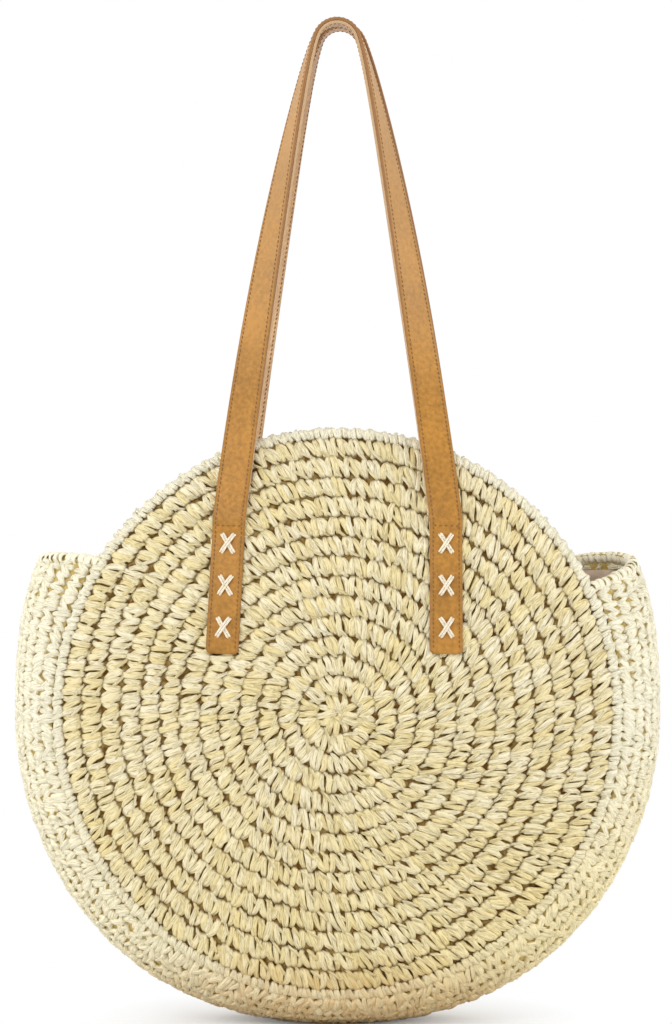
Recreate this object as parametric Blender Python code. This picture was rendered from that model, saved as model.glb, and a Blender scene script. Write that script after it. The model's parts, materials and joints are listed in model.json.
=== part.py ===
"""Round straw tote bag: two crocheted straw discs joined by a bulging straw gusset, a cloth lining,
a magnetic snap and two leather handles sewn on with crossed cords.

Run with: blender --background --python part.py
Metres, +Z up. The bag stands on its flattened foot at Z = 0, and its front faces -Y.
The back mirrors the front, but for a small shift of its handle. Left is towards -X on both.
"""

import math

import bmesh
import bpy
from mathutils import Matrix, Vector
from mathutils.geometry import interpolate_bezier

MM = 0.001
CLEARANCE = 0.3 * MM

# Crocheted straw body
PANEL_RADIUS = 176 * MM
STRAW_THICKNESS = 6.5 * MM
CENTRE_HALF_DEPTH = 60 * MM
BOTTOM_HALF_DEPTH = 47 * MM
MOUTH_HALF_DEPTH = 30 * MM
DOME_POWER = 2.2
EDGING_DIAMETER = 6.0 * MM
STRAW_GAP = 0.4 * MM

# How far the gusset swells out past the discs, at angles from straight down
BOTTOM_BULGE = 18.8 * MM
LOWER_BULGE = 26.2 * MM
SIDE_BULGE = 25.0 * MM
END_BULGE = 33.4 * MM
LOWER_ANGLE = math.radians(45)
SIDE_ANGLE = math.radians(90)
GUSSET_END_ANGLE = math.radians(120)
GUSSET_END_DROOP = math.radians(2.5)
GUSSET_END_SKEW = math.radians(3)
FOOT_FLATTENING = 1.8 * MM

# Cloth lining
LINING_THICKNESS = 0.8 * MM
LINING_SPACE = 2.0 * MM
LINING_BELOW_RIM = 8 * MM
LINING_RISE_ANGLE = math.radians(8)

# Leather handles
STRAP_WIDTH = 20.8 * MM
LEATHER_THICKNESS = 2.0 * MM
LEATHER_CHAMFER = 0.6 * MM
HANDLE_SPREAD = 137 * MM
HANDLE_SHIFTS = {"front": 0.0, "back": 2.0 * MM}
HANDLE_RISE = 323 * MM
APEX_SHIFT = -0.3 * MM
APEX_RADIUS = 15.6 * MM
APEX_ARC = math.radians(60)
APEX_REACH = 22 * MM
SEAT_REACH = 124 * MM
SEAT_LEAN = math.radians(6.5)
TWIST_POWER = 1.3
HINGE_CLEARANCE = 0.5 * MM

# Sewn ends of the handles
TAB_TOP_RISE = 121 * MM
TAB_LENGTH = 83 * MM
TAB_STEP_LENGTH = 8 * MM
LEFT_TAB_LEAN = math.radians(3.0)
RIGHT_TAB_LEAN = 0.0

# Crossed cords through the sewn ends
CORD_DIAMETER = 1.5 * MM
CORD_STRANDS = 2
CORD_HOLE_DIAMETER = CORD_DIAMETER * CORD_STRANDS + 2 * CLEARANCE
CROSS_WIDTH = 7.4 * MM
CROSS_HEIGHT = 11.4 * MM
CROSS_COUNT = 3
CROSS_TOP_MARGIN = 13.5 * MM
CROSS_END_MARGIN = 16.7 * MM

# Magnetic snap
SNAP_DIAMETER = 18 * MM
SNAP_BASE_THICKNESS = 1.6 * MM
SNAP_STUD_DIAMETER = 5.6 * MM
SNAP_STUD_LENGTH = 2.6 * MM
SNAP_SOCKET_DEPTH = 2.9 * MM
SNAP_SOCKET_FLOOR = 1.3 * MM
SNAP_BELOW_RIM = 30 * MM
SNAP_SEAT_GAP = 0.6 * MM
SNAP_BEVEL = 0.5 * MM
WASHER_DIAMETER = 14 * MM
WASHER_THICKNESS = 0.7 * MM

# Cutters
FLOOR_CUTTER_DEPTH = 20 * MM
HOLE_CUTTER_LENGTH = 14 * MM

# Small steps that slopes are measured over
SURFACE_STEP = 0.5 * MM
STRAP_STEP = 0.2 * MM
GUSSET_STEP = 0.002

# Fineness of the meshes
RIM_SEGMENTS = 56
PANEL_RINGS = 5
LINING_SEGMENTS = 32
LINING_RINGS = 6
GUSSET_SEGMENTS = 36
GUSSET_ROWS = 8
LINING_ROWS = 6
STRAP_ARC_SEGMENTS = 8
STRAP_LEG_SEGMENTS = 13
TAB_STATIONS = 6
ROUND_SEGMENTS = 16
HOLE_SEGMENTS = 6
CORD_SIDES = 6

SIDES = ((-1, "left"), (1, "right"))
MIRROR = Matrix.Scale(-1, 4, (0, 1, 0))
HALF_TURN = Matrix.Rotation(math.pi, 4, "Z")


def clear_scene():
    for old in list(bpy.data.objects):
        bpy.data.objects.remove(old)


def make_material(name, colour, roughness, metallic=0.0):
    material = bpy.data.materials.new(name)
    material.use_nodes = True
    shader = material.node_tree.nodes["Principled BSDF"]
    shader.inputs["Base Color"].default_value = (*colour, 1.0)
    shader.inputs["Roughness"].default_value = roughness
    shader.inputs["Metallic"].default_value = metallic
    return material


def add_object(name, data, material, placing=None):
    """One named sub-part, placed by a matrix where it isn't already in its place."""
    part = bpy.data.objects.new(name, data)
    if not data.materials:
        data.materials.append(material)
    if placing is not None:
        part.matrix_world = placing
    bpy.context.scene.collection.objects.link(part)
    return part


def mesh_from(form, name):
    """A smooth-shaded mesh of a closed form, with its faces pointing out."""
    mesh = bpy.data.meshes.new(name)
    bmesh.ops.recalc_face_normals(form, faces=form.faces)
    if form.calc_volume(signed=True) < 0:
        bmesh.ops.reverse_faces(form, faces=form.faces)
    form.to_mesh(mesh)
    form.free()
    mesh.shade_smooth()
    mesh.set_sharp_from_angle(angle=math.radians(40))
    return mesh


def mirrored(mesh):
    """The same shape on the back of the bag."""
    copy = mesh.copy()
    copy.transform(MIRROR)
    copy.flip_normals()
    return copy


# Shape of the straw body

def eased(position, knots):
    """A smooth curve through (position, size) knots, level at each knot."""
    for (start, low), (end, high) in zip(knots, knots[1:]):
        if position <= end:
            share = max(0.0, (position - start) / (end - start))
            return low + (high - low) * share * share * (3 - 2 * share)
    return knots[-1][1]


def rim_half_depth(angle):
    """Half the bag's depth at a disc's rim, at an angle from straight down."""
    middle = (BOTTOM_HALF_DEPTH + MOUTH_HALF_DEPTH) / 2
    swing = (BOTTOM_HALF_DEPTH - MOUTH_HALF_DEPTH) / 2
    return middle + swing * math.cos(angle)


def rim_slope(angle):
    """How fast the disc falls back at its rim, depth over radius."""
    return DOME_POWER * (CENTRE_HALF_DEPTH - rim_half_depth(angle)) / PANEL_RADIUS


def rim_step(angle, length):
    """Radius gained by going a length past the rim along the surface."""
    return length / math.hypot(1.0, rim_slope(angle))


def gusset_start_radius(angle):
    return PANEL_RADIUS + rim_step(angle, EDGING_DIAMETER + 2 * STRAW_GAP)


def gusset_bulge(angle):
    knots = (
        (0.0, BOTTOM_BULGE),
        (LOWER_ANGLE, LOWER_BULGE),
        (SIDE_ANGLE, SIDE_BULGE),
        (GUSSET_END_ANGLE, END_BULGE),
    )
    return eased(abs(angle), knots)


CENTRE_HEIGHT = gusset_start_radius(0.0) + BOTTOM_BULGE - FOOT_FLATTENING


def half_depth(x, z):
    """Distance of the front disc's outer face from the middle plane."""
    radius = math.hypot(x, z - CENTRE_HEIGHT)
    angle = math.atan2(x, CENTRE_HEIGHT - z)
    rim = rim_half_depth(angle)
    if radius > PANEL_RADIUS:
        return rim - rim_slope(angle) * (radius - PANEL_RADIUS)
    return CENTRE_HALF_DEPTH + (rim - CENTRE_HALF_DEPTH) * (radius / PANEL_RADIUS) ** DOME_POWER


def panel_normal(x, z):
    """Outward direction of the front disc."""
    step = SURFACE_STEP
    across = (half_depth(x + step, z) - half_depth(x - step, z)) / (2 * step)
    up = (half_depth(x, z + step) - half_depth(x, z - step)) / (2 * step)
    return -Vector((across, 1.0, up)).normalized()


def on_panel(x, z, height):
    """A point over the front disc's outer face, or inside it where height is negative."""
    return Vector((x, -half_depth(x, z), z)) + panel_normal(x, z) * height


def on_circle(radius, angle):
    """Flat place of a point at a radius and an angle from straight down."""
    return radius * math.sin(angle), CENTRE_HEIGHT - radius * math.cos(angle)


def gusset_point(angle, across):
    """Outer face of the gusset. Across runs from -1 at the front seam to 1 at the back seam."""
    end = angle / GUSSET_END_ANGLE
    droop = GUSSET_END_DROOP * (1 - across * across) * end
    skew = GUSSET_END_SKEW * across * end * end
    angle = angle - droop + skew
    start = gusset_start_radius(angle)
    depth = rim_half_depth(angle) - rim_slope(angle) * (start - PANEL_RADIUS)
    bulge = gusset_bulge(angle)
    steepness = rim_slope(angle) * bulge / depth
    edge_turn = math.acos(steepness / (1 - steepness))
    turn = across * edge_turn
    radius = start + bulge * (math.cos(turn) - math.cos(edge_turn)) / (1 - math.cos(edge_turn))
    x, z = on_circle(radius, angle)
    return Vector((x, depth * math.sin(turn) / math.sin(edge_turn), z))


def on_gusset(angle, across, height):
    step = GUSSET_STEP
    along = gusset_point(angle + step, across) - gusset_point(angle - step, across)
    over = gusset_point(angle, across + step) - gusset_point(angle, across - step)
    outward = over.cross(along).normalized()
    return gusset_point(angle, across) + outward * height


# Straw pieces

def spun_disc(segments, rings):
    """A flat disc of radius 1 in rings, spun from one row of points."""
    form = bmesh.new()
    row = [form.verts.new((ring / rings, 0.0, 0.0)) for ring in range(rings + 1)]
    for inner, outer in zip(row, row[1:]):
        form.edges.new((inner, outer))
    bmesh.ops.spin(
        form, geom=form.verts[:] + form.edges[:], cent=(0, 0, 0), axis=(0, 0, 1),
        angle=math.tau, steps=segments, use_merge=True,
    )
    bmesh.ops.remove_doubles(form, verts=form.verts, dist=1e-6)
    return form


def shell_mesh(name, form, place, height, thickness):
    """Gives a flat sheet its thickness, and bends both its faces onto the bag by a placing rule."""
    lifted = bmesh.ops.extrude_face_region(form, geom=form.faces[:], use_keep_orig=True)
    inner = {item for item in lifted["geom"] if isinstance(item, bmesh.types.BMVert)}
    for vertex in form.verts:
        depth = thickness if vertex in inner else 0.0
        vertex.co = place(vertex.co, height - depth)
    return mesh_from(form, name)


def disc_rule(rim_radius):
    """Placing rule for a disc of radius 1, which reaches rim_radius(angle) on the front of the bag."""
    def place(flat, height):
        share = math.hypot(flat.x, flat.y)
        angle = math.atan2(flat.y, flat.x)
        x, z = on_circle(share * rim_radius(angle), angle)
        return on_panel(x, z, height)
    return place


def band_rule(end_angle):
    """Placing rule for a grid from -1 to 1, which runs round the gusset from end to end."""
    def place(flat, height):
        return on_gusset(flat.x * end_angle, flat.y, height)
    return place


def make_panel(straw):
    disc = spun_disc(RIM_SEGMENTS, PANEL_RINGS)
    mesh = shell_mesh("panel", disc, disc_rule(lambda angle: PANEL_RADIUS), 0.0, STRAW_THICKNESS)
    add_object("front_panel", mesh, straw)
    add_object("back_panel", mirrored(mesh), straw)


def make_edging(straw):
    """The round that closes each disc and joins it to the gusset."""
    for name, away in (("front_edging", 1), ("back_edging", -1)):
        curve = bpy.data.curves.new(name, "CURVE")
        curve.dimensions = "3D"
        curve.bevel_depth = EDGING_DIAMETER / 2
        curve.bevel_resolution = 1
        spline = curve.splines.new("POLY")
        spline.points.add(RIM_SEGMENTS - 1)
        spline.use_cyclic_u = True
        for number, point in enumerate(spline.points):
            angle = math.tau * number / RIM_SEGMENTS
            radius = PANEL_RADIUS + rim_step(angle, STRAW_GAP + EDGING_DIAMETER / 2)
            place = on_panel(*on_circle(radius, angle), -STRAW_THICKNESS / 2)
            point.co = (place.x, away * place.y, place.z, 1.0)
        add_object(name, curve, straw)


def flat_grid(columns, rows):
    form = bmesh.new()
    bmesh.ops.create_grid(form, x_segments=columns, y_segments=rows, size=1.0)
    return form


def cut_by(part, cutter):
    cut = part.modifiers.new("cut", "BOOLEAN")
    cut.operation = "DIFFERENCE"
    cut.solver = "EXACT"
    cut.object = cutter
    return cut


def add_guide(name, mesh):
    """A hidden shape that only cuts or joins."""
    guide = bpy.data.objects.new(name, mesh)
    guide.hide_render = True
    guide.display_type = "WIRE"
    bpy.context.scene.collection.objects.link(guide)
    return guide


def make_gusset(straw):
    band = flat_grid(GUSSET_SEGMENTS, GUSSET_ROWS)
    mesh = shell_mesh("gusset", band, band_rule(GUSSET_END_ANGLE), 0.0, STRAW_THICKNESS)
    gusset = add_object("gusset", mesh, straw)
    floor = bmesh.new()
    reach = 2 * PANEL_RADIUS
    size = Matrix.Diagonal((reach, reach, FLOOR_CUTTER_DEPTH, 1.0))
    middle = Matrix.Translation((0, 0, -FLOOR_CUTTER_DEPTH / 2))
    bmesh.ops.create_cube(floor, size=1.0, matrix=middle @ size)
    cut_by(gusset, add_guide("floor_cutter", mesh_from(floor, "floor")))


# Lining

def lining_rim(angle):
    """Radius of the lining discs: over the seam where the gusset is, and below the free rim."""
    turn = abs(math.remainder(angle, math.tau))
    sewn = gusset_start_radius(turn) - rim_step(turn, STRAW_GAP)
    free = PANEL_RADIUS - LINING_BELOW_RIM
    rise_start = GUSSET_END_ANGLE - LINING_RISE_ANGLE
    return eased(turn, ((0.0, sewn), (rise_start, sewn), (GUSSET_END_ANGLE, free), (math.pi, free)))


def make_lining(cloth):
    height = -(STRAW_THICKNESS + LINING_SPACE)
    disc = spun_disc(LINING_SEGMENTS, LINING_RINGS)
    mesh = shell_mesh("lining_disc", disc, disc_rule(lining_rim), height, LINING_THICKNESS)
    add_object("front_lining", mesh, cloth)
    add_object("back_lining", mirrored(mesh), cloth)
    end_angle = GUSSET_END_ANGLE - LINING_RISE_ANGLE
    band = flat_grid(LINING_SEGMENTS, LINING_ROWS)
    mesh = shell_mesh("lining_band", band, band_rule(end_angle), height, LINING_THICKNESS)
    add_object("gusset_lining", mesh, cloth)


# Leather handles

def ribbon_mesh(name, stations, width, thickness, rise):
    """A flat strap with chamfered edges. A station is (point, along, outward); rise lifts it outward.

    Its upper and lower faces are split along the same diagonals, so that layers lie parallel in a twist.
    """
    side, level, bevel = width / 2, thickness / 2, LEATHER_CHAMFER
    outline = (
        (-side, -level + bevel), (-side, level - bevel), (-side + bevel, level), (side - bevel, level),
        (side, level - bevel), (side, -level + bevel), (side - bevel, -level), (-side + bevel, -level),
    )
    form = bmesh.new()
    rings = []
    for point, along, outward in stations:
        wide = along.cross(outward).normalized()
        centre = point + outward * rise
        rings.append([form.verts.new(centre + wide * a + outward * b) for a, b in outline])
    halves = {"FIXED": [], "ALTERNATE": []}
    for ring, following in zip(rings, rings[1:]):
        for number in range(len(outline)):
            other = (number + 1) % len(outline)
            half = halves["FIXED" if number < len(outline) / 2 else "ALTERNATE"]
            half.append(form.faces.new((ring[number], ring[other], following[other], following[number])))
    form.faces.new(rings[0])
    form.faces.new(rings[-1])
    for diagonal, faces in halves.items():
        bmesh.ops.triangulate(form, faces=faces, quad_method=diagonal)
    return mesh_from(form, name)


def tab_line(shift, side):
    """Top place of a sewn end and its downward direction on the disc's flat outline."""
    lean = RIGHT_TAB_LEAN if side > 0 else LEFT_TAB_LEAN
    top = Vector((shift + side * HANDLE_SPREAD / 2, CENTRE_HEIGHT + TAB_TOP_RISE))
    return top, Vector((side * math.sin(lean), -math.cos(lean)))


def tab_height(below_top):
    """Height of the sewn end's mid thickness over the straw: it steps up over the backing's end."""
    seated = CLEARANCE + LEATHER_THICKNESS / 2
    step = LEATHER_THICKNESS + CLEARANCE
    return seated + eased(below_top, ((0.0, step), (TAB_STEP_LENGTH, 0.0), (TAB_LENGTH, 0.0)))


def tab_point(shift, side, below_top):
    top, down = tab_line(shift, side)
    place = top + down * below_top
    return on_panel(place.x, place.y, tab_height(below_top))


def tab_station(shift, side, below_top):
    """Point, upward direction and outward direction of a sewn end at a distance below its top."""
    point = tab_point(shift, side, below_top)
    above = tab_point(shift, side, below_top - STRAP_STEP)
    below = tab_point(shift, side, below_top + STRAP_STEP)
    along = (above - below).normalized()
    top, down = tab_line(shift, side)
    place = top + down * below_top
    outward = panel_normal(place.x, place.y)
    outward = (outward - along * outward.dot(along)).normalized()
    return point, along, outward


def make_tabs(leather):
    step_stops = [TAB_STEP_LENGTH * share for share in (0.0, 0.25, 0.5, 0.75)]
    flat_pitch = (TAB_LENGTH - TAB_STEP_LENGTH) / (TAB_STATIONS - 1)
    flat_stops = [TAB_STEP_LENGTH + flat_pitch * number for number in range(TAB_STATIONS)]
    for face, shift in HANDLE_SHIFTS.items():
        for side, side_name in SIDES:
            stations = [tab_station(shift, side, stop) for stop in reversed(step_stops + flat_stops)]
            mesh = ribbon_mesh("tab", stations, STRAP_WIDTH, LEATHER_THICKNESS, 0.0)
            holes = mesh_from(cross_holes(shift, side), "holes")
            if face == "back":
                mesh, holes = mirrored(mesh), mirrored(holes)
            name = f"{face}_{side_name}_tab"
            cut_by(add_object(name, mesh, leather), add_guide(f"{name}_holes", holes))


def handle_hinge(shift):
    """Where a handle folds: a line along X just outside the top corners of its sewn ends."""
    corners = []
    for side, _ in SIDES:
        point, along, outward = tab_station(shift, side, 0.0)
        half_width = along.cross(outward).normalized() * (STRAP_WIDTH / 2)
        face = point + outward * (LEATHER_THICKNESS / 2)
        corners += [face - half_width, face + half_width]
    outermost = min(corner.y for corner in corners)
    height = sum(corner.z for corner in corners) / len(corners)
    return Vector((shift, outermost - HINGE_CLEARANCE, height))


def apex_point(shift, turn):
    """Middle of the handle's face layer at an angle from the top of its bend, positive to the right."""
    across = shift + APEX_SHIFT + APEX_RADIUS * math.sin(turn)
    height = CENTRE_HEIGHT + TAB_TOP_RISE + HANDLE_RISE - APEX_RADIUS * (1 - math.cos(turn))
    return Vector((across, -STRAP_WIDTH / 2 - CLEARANCE, height))


def handle_leg(shift, side):
    """Points of one leg's face layer, from just above its sewn end to the bend's arc."""
    point, along, _ = tab_station(shift, side, 0.0)
    start = point + along * CLEARANCE
    end = apex_point(shift, side * APEX_ARC)
    leave = Vector((-side * math.sin(SEAT_LEAN), along.y, math.cos(SEAT_LEAN))).normalized()
    arrive = Vector((side * math.cos(APEX_ARC), 0, -math.sin(APEX_ARC)))
    first, second = start + leave * SEAT_REACH, end + arrive * APEX_REACH
    return interpolate_bezier(start, first, second, end, STRAP_LEG_SEGMENTS + 1)


def handle_stations(shift):
    """The whole handle from left to right: its face turns from the front to the loop's outside."""
    arc = [2 * APEX_ARC * number / STRAP_ARC_SEGMENTS - APEX_ARC for number in range(1, STRAP_ARC_SEGMENTS)]
    points = handle_leg(shift, -1)
    points += [apex_point(shift, turn) for turn in arc]
    points += handle_leg(shift, 1)[::-1]
    apex = apex_point(shift, 0.0)
    stations = []
    for number, point in enumerate(points):
        before = points[max(number - 1, 0)]
        after = points[min(number + 1, len(points) - 1)]
        along = (after - before).normalized()
        _, _, seat = tab_station(shift, -1 if point.x < apex.x else 1, 0.0)
        start_twist = math.atan2(abs(seat.x), -seat.y)
        share = max(0.0, (point.z - points[0].z) / (apex.z - points[0].z))
        twist = start_twist + (math.pi / 2 - start_twist) * share ** TWIST_POWER
        sideways = Vector((-along.z, 0.0, along.x))
        outward = Vector((0, -1, 0)) * math.cos(twist) + sideways * math.sin(twist)
        outward = (outward - along * outward.dot(along)).normalized()
        stations.append((point, along, outward))
    for number, side in ((0, -1), (-1, 1)):
        _, along, outward = tab_station(shift, side, 0.0)
        stations[number] = (stations[number][0], -side * along, outward)
    return stations


def make_handles(leather):
    """Each handle is a face layer and a backing layer, with its origin on the line where it folds."""
    backing_drop = -(LEATHER_THICKNESS + CLEARANCE)
    for face, shift in HANDLE_SHIFTS.items():
        stations = handle_stations(shift)
        for layer, rise in (("face", 0.0), ("backing", backing_drop)):
            hinge = handle_hinge(shift)
            mesh = ribbon_mesh("handle", stations, STRAP_WIDTH, LEATHER_THICKNESS, rise)
            if face == "back":
                mesh, hinge = mirrored(mesh), MIRROR @ hinge
            mesh.transform(Matrix.Translation(-hinge))
            add_object(f"{face}_handle_{layer}", mesh, leather).location = hinge


# Crossed cords

def cross_corners(shift, side, number):
    """The four holes of one cross, as points on the sewn end's face, and the outward direction."""
    pitch = (TAB_LENGTH - CROSS_TOP_MARGIN - CROSS_END_MARGIN) / (CROSS_COUNT - 1)
    point, along, outward = tab_station(shift, side, CROSS_TOP_MARGIN + number * pitch)
    wide = along.cross(outward).normalized()
    face = point + outward * (LEATHER_THICKNESS / 2)
    across, up = wide * (CROSS_WIDTH / 2), along * (CROSS_HEIGHT / 2)
    corners = {
        "upper_left": face - across + up, "upper_right": face + across + up,
        "lower_left": face - across - up, "lower_right": face + across - up,
    }
    return corners, outward


def cross_holes(shift, side):
    """The shape of every cord hole of one sewn end."""
    form = bmesh.new()
    radius = CORD_HOLE_DIAMETER / 2
    for number in range(CROSS_COUNT):
        corners, outward = cross_corners(shift, side, number)
        turn = outward.to_track_quat("Z", "Y").to_matrix().to_4x4()
        for corner in corners.values():
            bmesh.ops.create_cone(
                form, cap_ends=True, segments=HOLE_SEGMENTS, radius1=radius, radius2=radius,
                depth=HOLE_CUTTER_LENGTH, matrix=Matrix.Translation(corner) @ turn,
            )
    return form


def cord_path(start, end, outward, top):
    """A cord up through one hole, over the leather to a height at its middle, and down the other."""
    below = outward * -(LEATHER_THICKNESS - CLEARANCE / 2)
    lift = outward * CLEARANCE
    clear = outward * (CORD_DIAMETER / 2 + CLEARANCE)
    edge = CORD_HOLE_DIAMETER / 2 / (end - start).length
    first = [start + below, start + lift, start.lerp(end, edge) + clear]
    last = [end + below, end + lift, end.lerp(start, edge) + clear]
    return first + [start.lerp(end, 0.5) + outward * top] + last[::-1]


def arm_mesh(path, outward):
    """One arm of a cross: a flattened tube as wide as the doubled cord and one cord thick."""
    form = bmesh.new()
    wide = (path[-1] - path[0]).cross(outward).normalized()
    half_width = CORD_DIAMETER * CORD_STRANDS / 2
    half_thickness = CORD_DIAMETER / 2
    rings = []
    for number, point in enumerate(path):
        before = path[max(number - 1, 0)]
        after = path[min(number + 1, len(path) - 1)]
        level = (after - before).cross(wide).normalized()
        ring = []
        for corner in range(CORD_SIDES):
            turn = math.tau * corner / CORD_SIDES
            across = wide * (half_width * math.cos(turn))
            ring.append(form.verts.new(point + across + level * (half_thickness * math.sin(turn))))
        rings.append(ring)
    for ring, following in zip(rings, rings[1:]):
        for corner in range(CORD_SIDES):
            other = (corner + 1) % CORD_SIDES
            form.faces.new((ring[corner], ring[other], following[other], following[corner]))
    form.faces.new(rings[0])
    form.faces.new(rings[-1])
    return mesh_from(form, "arm")


def make_cross(name, shift, side, number, cord):
    """Each cross is one piece: its upper arm is pulled down into the lower one."""
    low = CORD_DIAMETER / 2 + CLEARANCE
    high = low + CORD_DIAMETER / 2
    corners, outward = cross_corners(shift, side, number)
    lower = arm_mesh(cord_path(corners["upper_left"], corners["lower_right"], outward, low), outward)
    upper = arm_mesh(cord_path(corners["upper_right"], corners["lower_left"], outward, high), outward)
    if name.startswith("back"):
        lower, upper = mirrored(lower), mirrored(upper)
    join = add_object(name, lower, cord).modifiers.new("join", "BOOLEAN")
    join.operation = "UNION"
    join.solver = "EXACT"
    join.object = add_guide(f"{name}_upper_arm", upper)


def make_crosses(cord):
    for face, shift in HANDLE_SHIFTS.items():
        for side, side_name in SIDES:
            for number in range(CROSS_COUNT):
                make_cross(f"{face}_{side_name}_cross_{number + 1}", shift, side, number, cord)


# Magnetic snap

def snap_placing(height):
    """Frame on the disc's middle line below the rim: Z points into the bag."""
    z = CENTRE_HEIGHT + PANEL_RADIUS - SNAP_BELOW_RIM
    inward = -panel_normal(0.0, z)
    turn = inward.to_track_quat("Z", "Y").to_matrix().to_4x4()
    return Matrix.Translation(on_panel(0.0, z, -height)) @ turn


def turned_mesh(name, profile):
    """A solid of revolution about Z from a (radius, height) profile that starts and ends on the axis."""
    form = bmesh.new()
    row = [form.verts.new((radius, 0.0, height)) for radius, height in profile]
    for first, second in zip(row, row[1:]):
        form.edges.new((first, second))
    bmesh.ops.spin(
        form, geom=form.verts[:] + form.edges[:], cent=(0, 0, 0), axis=(0, 0, 1),
        angle=math.tau, steps=ROUND_SEGMENTS, use_merge=True,
    )
    bmesh.ops.remove_doubles(form, verts=form.verts, dist=1e-7)
    return mesh_from(form, name)


def make_snap(metal):
    washer_start = STRAW_THICKNESS + LINING_SPACE - WASHER_THICKNESS - CLEARANCE
    lining_face = STRAW_THICKNESS + LINING_SPACE + LINING_THICKNESS + SNAP_SEAT_GAP
    outer = SNAP_DIAMETER / 2
    bevel = SNAP_BEVEL
    stud = SNAP_STUD_DIAMETER / 2
    base = SNAP_BASE_THICKNESS
    tip = base + SNAP_STUD_LENGTH
    stud_profile = (
        (0, 0), (outer, 0), (outer, base - bevel), (outer - bevel, base), (stud, base),
        (stud, tip - bevel), (stud - bevel, tip), (0, tip),
    )
    hole = stud + CLEARANCE
    top = SNAP_SOCKET_FLOOR + SNAP_SOCKET_DEPTH
    socket_profile = (
        (0, 0), (outer, 0), (outer, top - bevel), (outer - bevel, top), (hole + bevel, top),
        (hole, top - bevel), (hole, SNAP_SOCKET_FLOOR), (0, SNAP_SOCKET_FLOOR),
    )
    plate = WASHER_DIAMETER / 2
    washer_profile = ((0, 0), (plate, 0), (plate, WASHER_THICKNESS), (0, WASHER_THICKNESS))
    washer = turned_mesh("washer", washer_profile)
    on_lining, behind_lining = snap_placing(lining_face), snap_placing(washer_start)
    add_object("snap_stud", turned_mesh("snap_stud", stud_profile), metal, on_lining)
    add_object("snap_stud_washer", washer, metal, behind_lining)
    add_object("snap_socket", turned_mesh("snap_socket", socket_profile), metal, HALF_TURN @ on_lining)
    add_object("snap_socket_washer", washer, metal, HALF_TURN @ behind_lining)


def build():
    clear_scene()
    straw = make_material("straw", (0.83, 0.74, 0.50), 0.75)
    cloth = make_material("lining_cloth", (0.70, 0.58, 0.42), 0.9)
    leather = make_material("leather", (0.52, 0.27, 0.09), 0.5)
    cord = make_material("cord", (0.86, 0.80, 0.64), 0.8)
    metal = make_material("snap_metal", (0.72, 0.62, 0.42), 0.3, 1.0)
    make_panel(straw)
    make_edging(straw)
    make_gusset(straw)
    make_lining(cloth)
    make_tabs(leather)
    make_handles(leather)
    make_crosses(cord)
    make_snap(metal)


build()
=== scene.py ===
"""Round crocheted straw tote bag with leather handles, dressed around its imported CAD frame.

Metres, +Z up, the front faces -Y. Every finished piece keeps its place in its mesh.
"""

import json
import math
import random
from collections import namedtuple
from itertools import product

import bmesh
import bpy
from bpy.props import FloatProperty, FloatVectorProperty, IntProperty, PointerProperty
from mathutils import Matrix, Vector, noise
from mathutils.geometry import interpolate_bezier

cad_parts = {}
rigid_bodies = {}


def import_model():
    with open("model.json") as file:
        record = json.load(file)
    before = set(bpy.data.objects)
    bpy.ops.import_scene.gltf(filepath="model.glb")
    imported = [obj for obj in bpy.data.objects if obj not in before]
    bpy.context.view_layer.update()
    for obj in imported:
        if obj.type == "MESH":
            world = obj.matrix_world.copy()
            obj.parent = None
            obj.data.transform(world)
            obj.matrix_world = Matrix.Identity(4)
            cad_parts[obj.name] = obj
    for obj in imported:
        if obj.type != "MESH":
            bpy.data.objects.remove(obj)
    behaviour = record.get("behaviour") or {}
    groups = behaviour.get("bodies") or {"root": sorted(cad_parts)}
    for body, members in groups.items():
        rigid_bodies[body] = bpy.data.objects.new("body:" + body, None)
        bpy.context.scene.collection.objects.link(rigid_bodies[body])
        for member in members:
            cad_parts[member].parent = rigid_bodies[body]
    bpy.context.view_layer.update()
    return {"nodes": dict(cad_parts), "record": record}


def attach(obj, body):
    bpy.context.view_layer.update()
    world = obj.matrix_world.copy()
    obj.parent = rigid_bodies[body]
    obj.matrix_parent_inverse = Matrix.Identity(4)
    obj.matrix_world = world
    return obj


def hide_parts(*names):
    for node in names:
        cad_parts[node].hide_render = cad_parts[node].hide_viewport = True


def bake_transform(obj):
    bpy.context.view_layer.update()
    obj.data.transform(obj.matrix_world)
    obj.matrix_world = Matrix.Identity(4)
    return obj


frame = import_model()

bl_info = {
    "name": "Straw Tote Bag",
    "version": (1, 0, 0),
    "blender": (4, 5, 0),
    "location": "View3D > Sidebar > Straw Tote",
    "description": "Builds a crocheted straw tote bag with leather handles, and its stage",
    "category": "Object",
}

MM = 0.001
CLEARANCE = 0.3 * MM
FLOOR_GAP = 0.1 * MM

# Straw body: the CAD's sizes
PANEL_RADIUS = 176 * MM
STRAW_THICKNESS = 6.5 * MM
CENTRE_HALF_DEPTH = 60 * MM
BOTTOM_HALF_DEPTH = 47 * MM
MOUTH_HALF_DEPTH = 30 * MM
DOME_POWER = 2.2
EDGING_DIAMETER = 6 * MM
STRAW_GAP = 0.4 * MM
BOTTOM_BULGE = 18.8 * MM
LOWER_BULGE = 26.2 * MM
SIDE_BULGE = 25.0 * MM
END_BULGE = 33.4 * MM
LOWER_ANGLE = math.radians(45)
SIDE_ANGLE = math.radians(90)
GUSSET_END_ANGLE = math.radians(120)
GUSSET_END_DROOP = math.radians(2.5)
GUSSET_END_SKEW = math.radians(3)
FOOT_FLATTENING = 1.8 * MM

# Cloth lining: the CAD's sizes, and how far below the gusset's ends its own ends are
LINING_THICKNESS = 0.8 * MM
LINING_SPACE = 2.0 * MM
LINING_BELOW_RIM = 8 * MM
LINING_RISE_ANGLE = math.radians(8)
LINING_TUCK_ANGLE = math.radians(3)

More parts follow.
